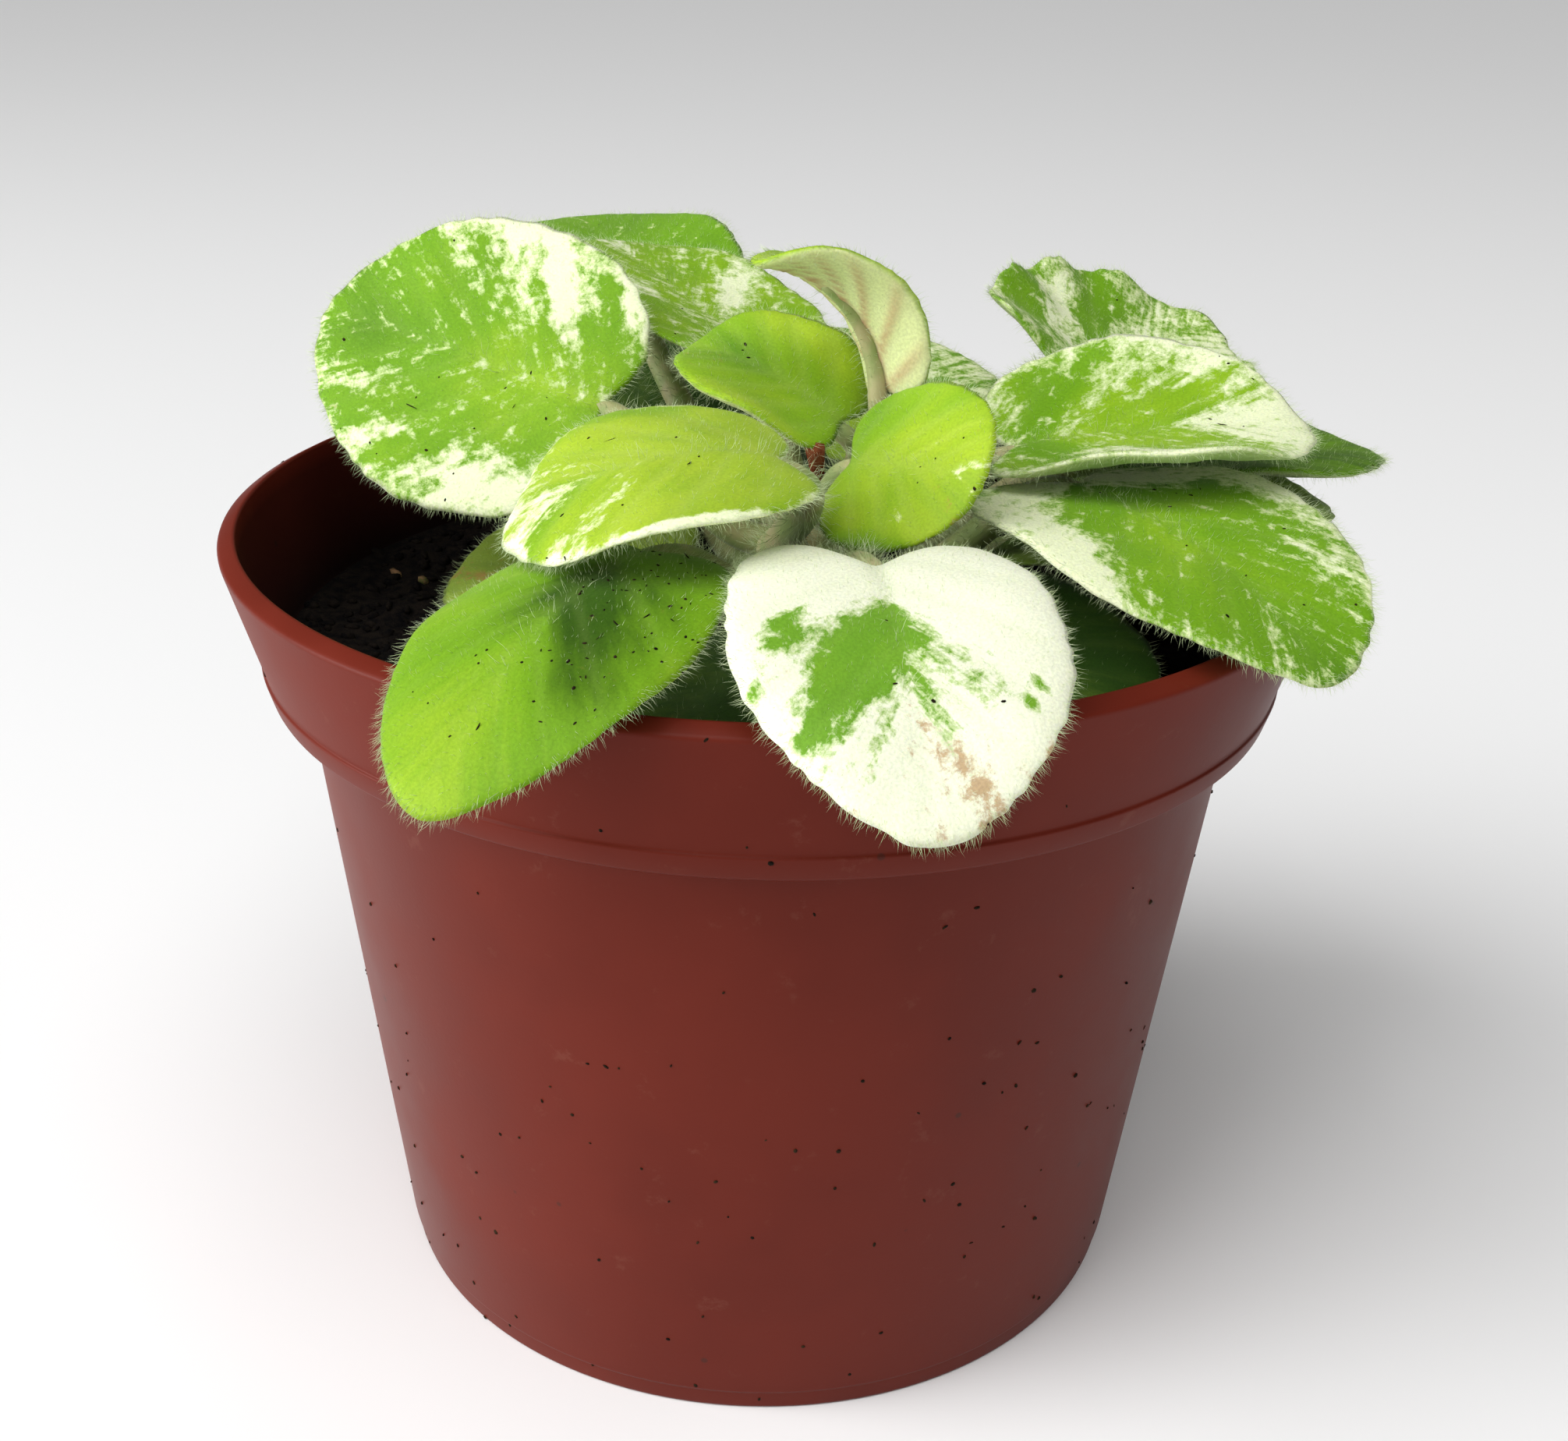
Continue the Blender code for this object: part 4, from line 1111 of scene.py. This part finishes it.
def make_pot(finish):
    lip_top = RIM_HEIGHT + LIP_RISE
    foot_radius = body_radius(FOOT_BAND_HEIGHT)
    outside = [
        (LIP_INNER_RADIUS, lip_top),
        (RIM_RADIUS, RIM_HEIGHT),
        (collar_radius(COLLAR_LINE_HEIGHT) - STEP_LINE, COLLAR_LINE_HEIGHT),
        (collar_radius(COLLAR_LINE_HEIGHT), COLLAR_LINE_HEIGHT - STEP_LINE),
        (COLLAR_FOOT_RADIUS, COLLAR_FOOT_HEIGHT),
        (SHOULDER_RADIUS, COLLAR_FOOT_HEIGHT),
        (foot_radius, FOOT_BAND_HEIGHT + STEP_LINE),
        (foot_radius - STEP_LINE, FOOT_BAND_HEIGHT),
        (BASE_RADIUS - STEP_LINE, 0.0),
        (0.0, 0.0),
    ]
    inside = pot_inside()[::-1]
    start = (LIP_INNER_RADIUS - 0.15 * MM, lip_top - 2 * MM)
    line = rounded_corners([start] + outside, EDGE_ROUNDING, ROUNDING_STEPS)
    line += rounded_corners([(0.0, FLOOR)] + inside + [start], EDGE_ROUNDING, ROUNDING_STEPS)
    pot = turned_mesh("pot_shell", line, POT_STEPS)
    bm = bmesh.new()
    for hole in range(DRAIN_HOLES):
        angle = 2 * pi * (hole + 0.5) / DRAIN_HOLES
        made = bmesh.ops.create_cone(
            bm, cap_ends=True, segments=40, radius1=DRAIN_HOLE_RADIUS, radius2=DRAIN_HOLE_RADIUS, depth=3 * FLOOR
        )
        place = Vector((DRAIN_CIRCLE_RADIUS * cos(angle), DRAIN_CIRCLE_RADIUS * sin(angle), FLOOR / 2))
        bmesh.ops.translate(bm, verts=made["verts"], vec=place)
    mesh = bpy.data.meshes.new("drain holes")
    bm.to_mesh(mesh)
    bm.free()
    cutter = mesh_object("drain holes", mesh)
    cut = pot.modifiers.new("drains", "BOOLEAN")
    cut.operation = "DIFFERENCE"
    cut.object = cutter
    applied(pot)
    bpy.data.objects.remove(cutter)
    pot.data.materials.clear()
    pot.data.materials.append(finish)
    places = np.array([v.co for v in pot.data.vertices])
    radius, height = np.hypot(places[:, 0], places[:, 1]), places[:, 2]
    wall_at = np.where(
        height > COLLAR_FOOT_HEIGHT, collar_radius(height) - COLLAR_WALL, body_radius(height) - WALL
    )
    # The inside mask is full from 2.2 mm under the rim down. There the material paints the wall nearly black: partly
    # stained by peat, partly painted shade.
    inner = (radius < wall_at + 0.25 * MM) & (height > FLOOR / 2)
    depth = np.clip((RIM_HEIGHT - height) / (2.2 * MM), 0, 1)
    add_attribute(pot.data, "inside", "FLOAT", inner * depth)
    outside = (radius > wall_at + 0.7 * MM) & (height > 0.01 * MM)
    low = np.exp(-((height / (3 * MM)) ** 2))
    add_attribute(pot.data, "specks", "FLOAT", outside * (0.006 + 0.05 * low))
    pot.data.set_sharp_from_angle(angle=radians(50))
    mount(pot, "terracotta_plastic", "pot")
    return pot


def soil_relief(x, y):
    place = Vector((x, y, 0.0))
    clods = CLOD_HEIGHT * noise.fractal(place / CLOD_SIZE, 0.8, 2.0, 3)
    crumbs = CRUMB_HEIGHT * abs(noise.noise(place / CRUMB_SIZE + Vector((7.0, 3.0, 1.0))))
    return clods + crumbs - 0.2 * MM


def make_soil(finish):
    """The peat: a rough top inside the pot's collar, on a plug that fills the pot."""
    wall = pot_inside(SOIL_GAP)
    edge = wall[0][0]
    profile = [(edge * i / SOIL_RINGS, SOIL_HEIGHT) for i in range(SOIL_RINGS + 1)]
    soil = turned_mesh("soil_peat", profile + wall[0:] + [(0.0, wall[-1][1])], SOIL_STEPS)
    soil.data.materials.append(finish)
    thickly = np.zeros(len(soil.data.vertices))
    for i, vertex in enumerate(soil.data.vertices):
        radius = hypot(vertex.co.x, vertex.co.y)
        if vertex.co.z > SOIL_HEIGHT - 0.01 * MM and radius < edge - 0.5 * MM:
            vertex.co.z += soil_relief(vertex.co.x, vertex.co.y)
            thickly[i] = 1.0
    add_attribute(soil.data, "specks", "FLOAT", thickly)
    soil.data.shade_smooth()
    mount(soil, "peat", "soil")
    return soil


def make_leaves(finishes, stem, hair, dirt, hairs, crumbs):
    for seed, (name, leaf) in enumerate(LEAVES.items()):
        look = LOOKS[name]
        blade = mesh_object(name + "_blade", blade_mesh(name + "_blade", leaf, look, seed), finishes[look.slot])
        route = petiole_route(leaf, WAVE_TURN * seed)
        petiole = mesh_object(name + "_petiole", tube_mesh(name + "_petiole", route, PETIOLE_SIDES), stem)
        shorter = 0.5 if leaf.length < 10 else 1.0
        thinner = (0.25 if leaf.hidden else 1.0) * PER_SQUARE_MM
        fuzz = grown(
            name + "_fuzz", blade, hairs, Where="fuzz", Density=FUZZ_DENSITY * thinner,
            Length=FUZZ_LENGTH * shorter, Radius=FUZZ_RADIUS, Seed=seed, Material=hair,
        )
        fringe = grown(
            name + "_fringe", blade, hairs, Where="fringe", Density=FRINGE_DENSITY * thinner,
            Length=FRINGE_LENGTH * shorter, Radius=FRINGE_RADIUS, Seed=seed + 30, Material=hair,
        )
        stem_hairs = grown(
            name + "_petiole_hairs", petiole, hairs, Where="fuzz", Density=PETIOLE_HAIR_DENSITY * thinner,
            Length=PETIOLE_HAIR_LENGTH * shorter, Radius=PETIOLE_HAIR_RADIUS, Seed=seed + 60, Material=hair,
        )
        mount(blade, look.slot, name)
        mount(petiole, "stem", name)
        mount(fuzz, look.slot)
        mount(fringe, look.slot)
        mount(stem_hairs, "stem")
        if leaf.hidden:
            continue
        specks = grown(
            name + "_specks", blade, crumbs, Where="specks", Density=PER_SQUARE_MM, Size=SPECK_SIZE,
            Seed=seed + 5, Material=dirt,
        )
        fibres = grown(
            name + "_fibres", blade, crumbs, Where="specks", Density=FIBRE_SHARE * PER_SQUARE_MM,
            Size=FIBRE_SIZE, Seed=seed + 9, Material=dirt,
        )
        for scraps in (specks, fibres):
            if scraps.data.polygons:
                mount(scraps, "peat")
            else:
                bpy.data.objects.remove(scraps)


def make_dry_stub(finish):
    """The dry red-brown stump of an old stalk between the youngest leaves."""
    route = []
    for i in range(13):
        share = i / 12
        start, middle, end = Vector((4.0, -3.4, 66.8)), Vector((3.6, -8.0, 70.5)), Vector((3.0, -9.0, 74.7))
        point = (1 - share) ** 2 * start + 2 * share * (1 - share) * middle + share**2 * end
        route.append((point * MM, (0.45 + 0.35 * share**3) * MM))
    mount(mesh_object("dry_stub", tube_mesh("dry_stub", route, 12), finish), "stem")


def litter(soil, pot, peat, dirt, straw, crumbs):
    """Broken peat and scraps on the soil, and specks of it on the pot."""
    pieces = (
        grown(
            "soil_crumbs", soil, crumbs, Where="specks", Density=CRUMB_DENSITY * PER_SQUARE_MM,
            Size=CRUMB_LUMP, Seed=3, Material=peat,
        ),
        grown(
            "soil_scraps", soil, crumbs, Where="specks", Density=SCRAP_DENSITY * PER_SQUARE_MM,
            Size=SCRAP_LUMP, Seed=4, Material=straw,
        ),
        grown(
            "pot_specks", pot, crumbs, Where="specks", Density=PER_SQUARE_MM, Size=POT_SPECK_SIZE,
            Seed=5, Material=dirt,
        ),
    )
    for piece in pieces:
        mount(piece, "peat")


def dress_crown(stem, hair, hairs):
    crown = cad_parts["crown"]
    crown.data.materials.clear()
    crown.data.materials.append(stem)
    surface = mesh_object("crown surface", crown.data.copy())
    bm = bmesh.new()
    bm.from_mesh(surface.data)
    bmesh.ops.remove_doubles(bm, verts=bm.verts, dist=0.001 * MM)
    bm.to_mesh(surface.data)
    bm.free()
    above = np.array([v.co.z > SOIL_HEIGHT for v in surface.data.vertices], float)
    add_even_growth(surface.data, above)
    tufts = grown(
        "crown_hairs", surface, hairs, Where="fuzz", Density=PETIOLE_HAIR_DENSITY * PER_SQUARE_MM,
        Length=PETIOLE_HAIR_LENGTH, Radius=PETIOLE_HAIR_RADIUS, Seed=90, Material=hair,
    )
    bpy.data.objects.remove(surface)
    mount(tufts, "stem")


def make_camera():
    forward = Vector(
        (sin(CAMERA_YAW) * cos(CAMERA_PITCH), cos(CAMERA_YAW) * cos(CAMERA_PITCH), -sin(CAMERA_PITCH))
    )
    level = forward.cross(Vector((0, 0, 1))).normalized()
    upright = level.cross(forward)
    right = level * cos(CAMERA_ROLL) + upright * sin(CAMERA_ROLL)
    up = upright * cos(CAMERA_ROLL) - level * sin(CAMERA_ROLL)
    data = bpy.data.cameras.new("camera")
    data.sensor_width = SENSOR_WIDTH
    data.lens = CAMERA_LENS
    data.clip_start = 0.01
    camera = bpy.data.objects.new("camera", data)
    turn = Matrix((right, up, -forward)).transposed().to_4x4()
    camera.matrix_world = Matrix.Translation((0.0, -CAMERA_BACK, CAMERA_HEIGHT)) @ turn
    bpy.context.scene.collection.objects.link(camera)
    bpy.context.scene.camera = camera


def add_light(kind, name, place, target, size, power):
    """A soft light: the size is a disk's width in metres, or a sun's spread as an angle."""
    data = bpy.data.lights.new(name, kind)
    data.energy = power
    if kind == "SUN":
        data.angle = size
    else:
        data.shape = "DISK"
        data.size = size
    light = bpy.data.objects.new(name, data)
    light.location = place
    light.rotation_mode = "QUATERNION"
    light.rotation_quaternion = (Vector(target) - Vector(place)).to_track_quat("-Z", "Y")
    bpy.context.scene.collection.objects.link(light)


def make_studio():
    """A white floor, a big soft light from the left and above, and a white surround."""
    bm = bmesh.new()
    bmesh.ops.create_circle(bm, cap_ends=True, segments=96, radius=4.0)
    mesh = bpy.data.meshes.new("floor")
    bm.to_mesh(mesh)
    bm.free()
    finish, tree, shader = material("floor", 0.9)
    shader.inputs["Base Color"].default_value = colour(0.88, 0.88, 0.88)
    floor = mesh_object("floor", mesh, finish)
    centre = (0.0, 0.0, 0.05)
    add_light("SUN", "key", (-0.52, -0.30, 0.62), centre, radians(50), 2.2)
    add_light("AREA", "above", (0.05, -0.32, 0.85), centre, 0.6, 3.2)
    add_light("AREA", "side", (-0.80, -0.16, 0.16), centre, 0.5, 5.6)
    add_light("AREA", "front", (0.10, -0.85, 0.42), centre, 0.8, 1.6)
    world = bpy.data.worlds.new("surround")
    world.use_nodes = True
    tree = world.node_tree
    background = tree.nodes["Background"]
    background.inputs["Color"].default_value = colour(1.0, 1.0, 1.0)
    seen = put(tree, "ShaderNodeLightPath").outputs["Is Camera Ray"]
    tree.links.new(between(tree, seen, 0.0, 1.0, 0.11, 1.0), background.inputs["Strength"])
    bpy.context.scene.world = world
    bpy.context.scene.view_settings.view_transform = "Standard"


make_camera()
make_studio()
hairs, crumbs = hair_tree(), crumb_tree()
peat = crumb_finish("peat", colour(0.0015, 0.0012, 0.0015), colour(0.010, 0.007, 0.005))
dirt = crumb_finish("soil speck", colour(0.004, 0.003, 0.002), colour(0.03, 0.018, 0.008))
straw = crumb_finish("dry scrap", colour(0.06, 0.075, 0.02), colour(0.22, 0.12, 0.06))
pot = make_pot(plastic_finish())
soil = make_soil(peat)
litter(soil, pot, peat, dirt, straw, crumbs)
stem, hair = stem_finish(), hair_finish()
make_leaves(make_leaf_finishes(), stem, hair, dirt, hairs, crumbs)
dress_crown(stem, hair, hairs)
make_dry_stub(crumb_finish("dry stalk", colour(0.12, 0.025, 0.010), colour(0.22, 0.07, 0.03)))
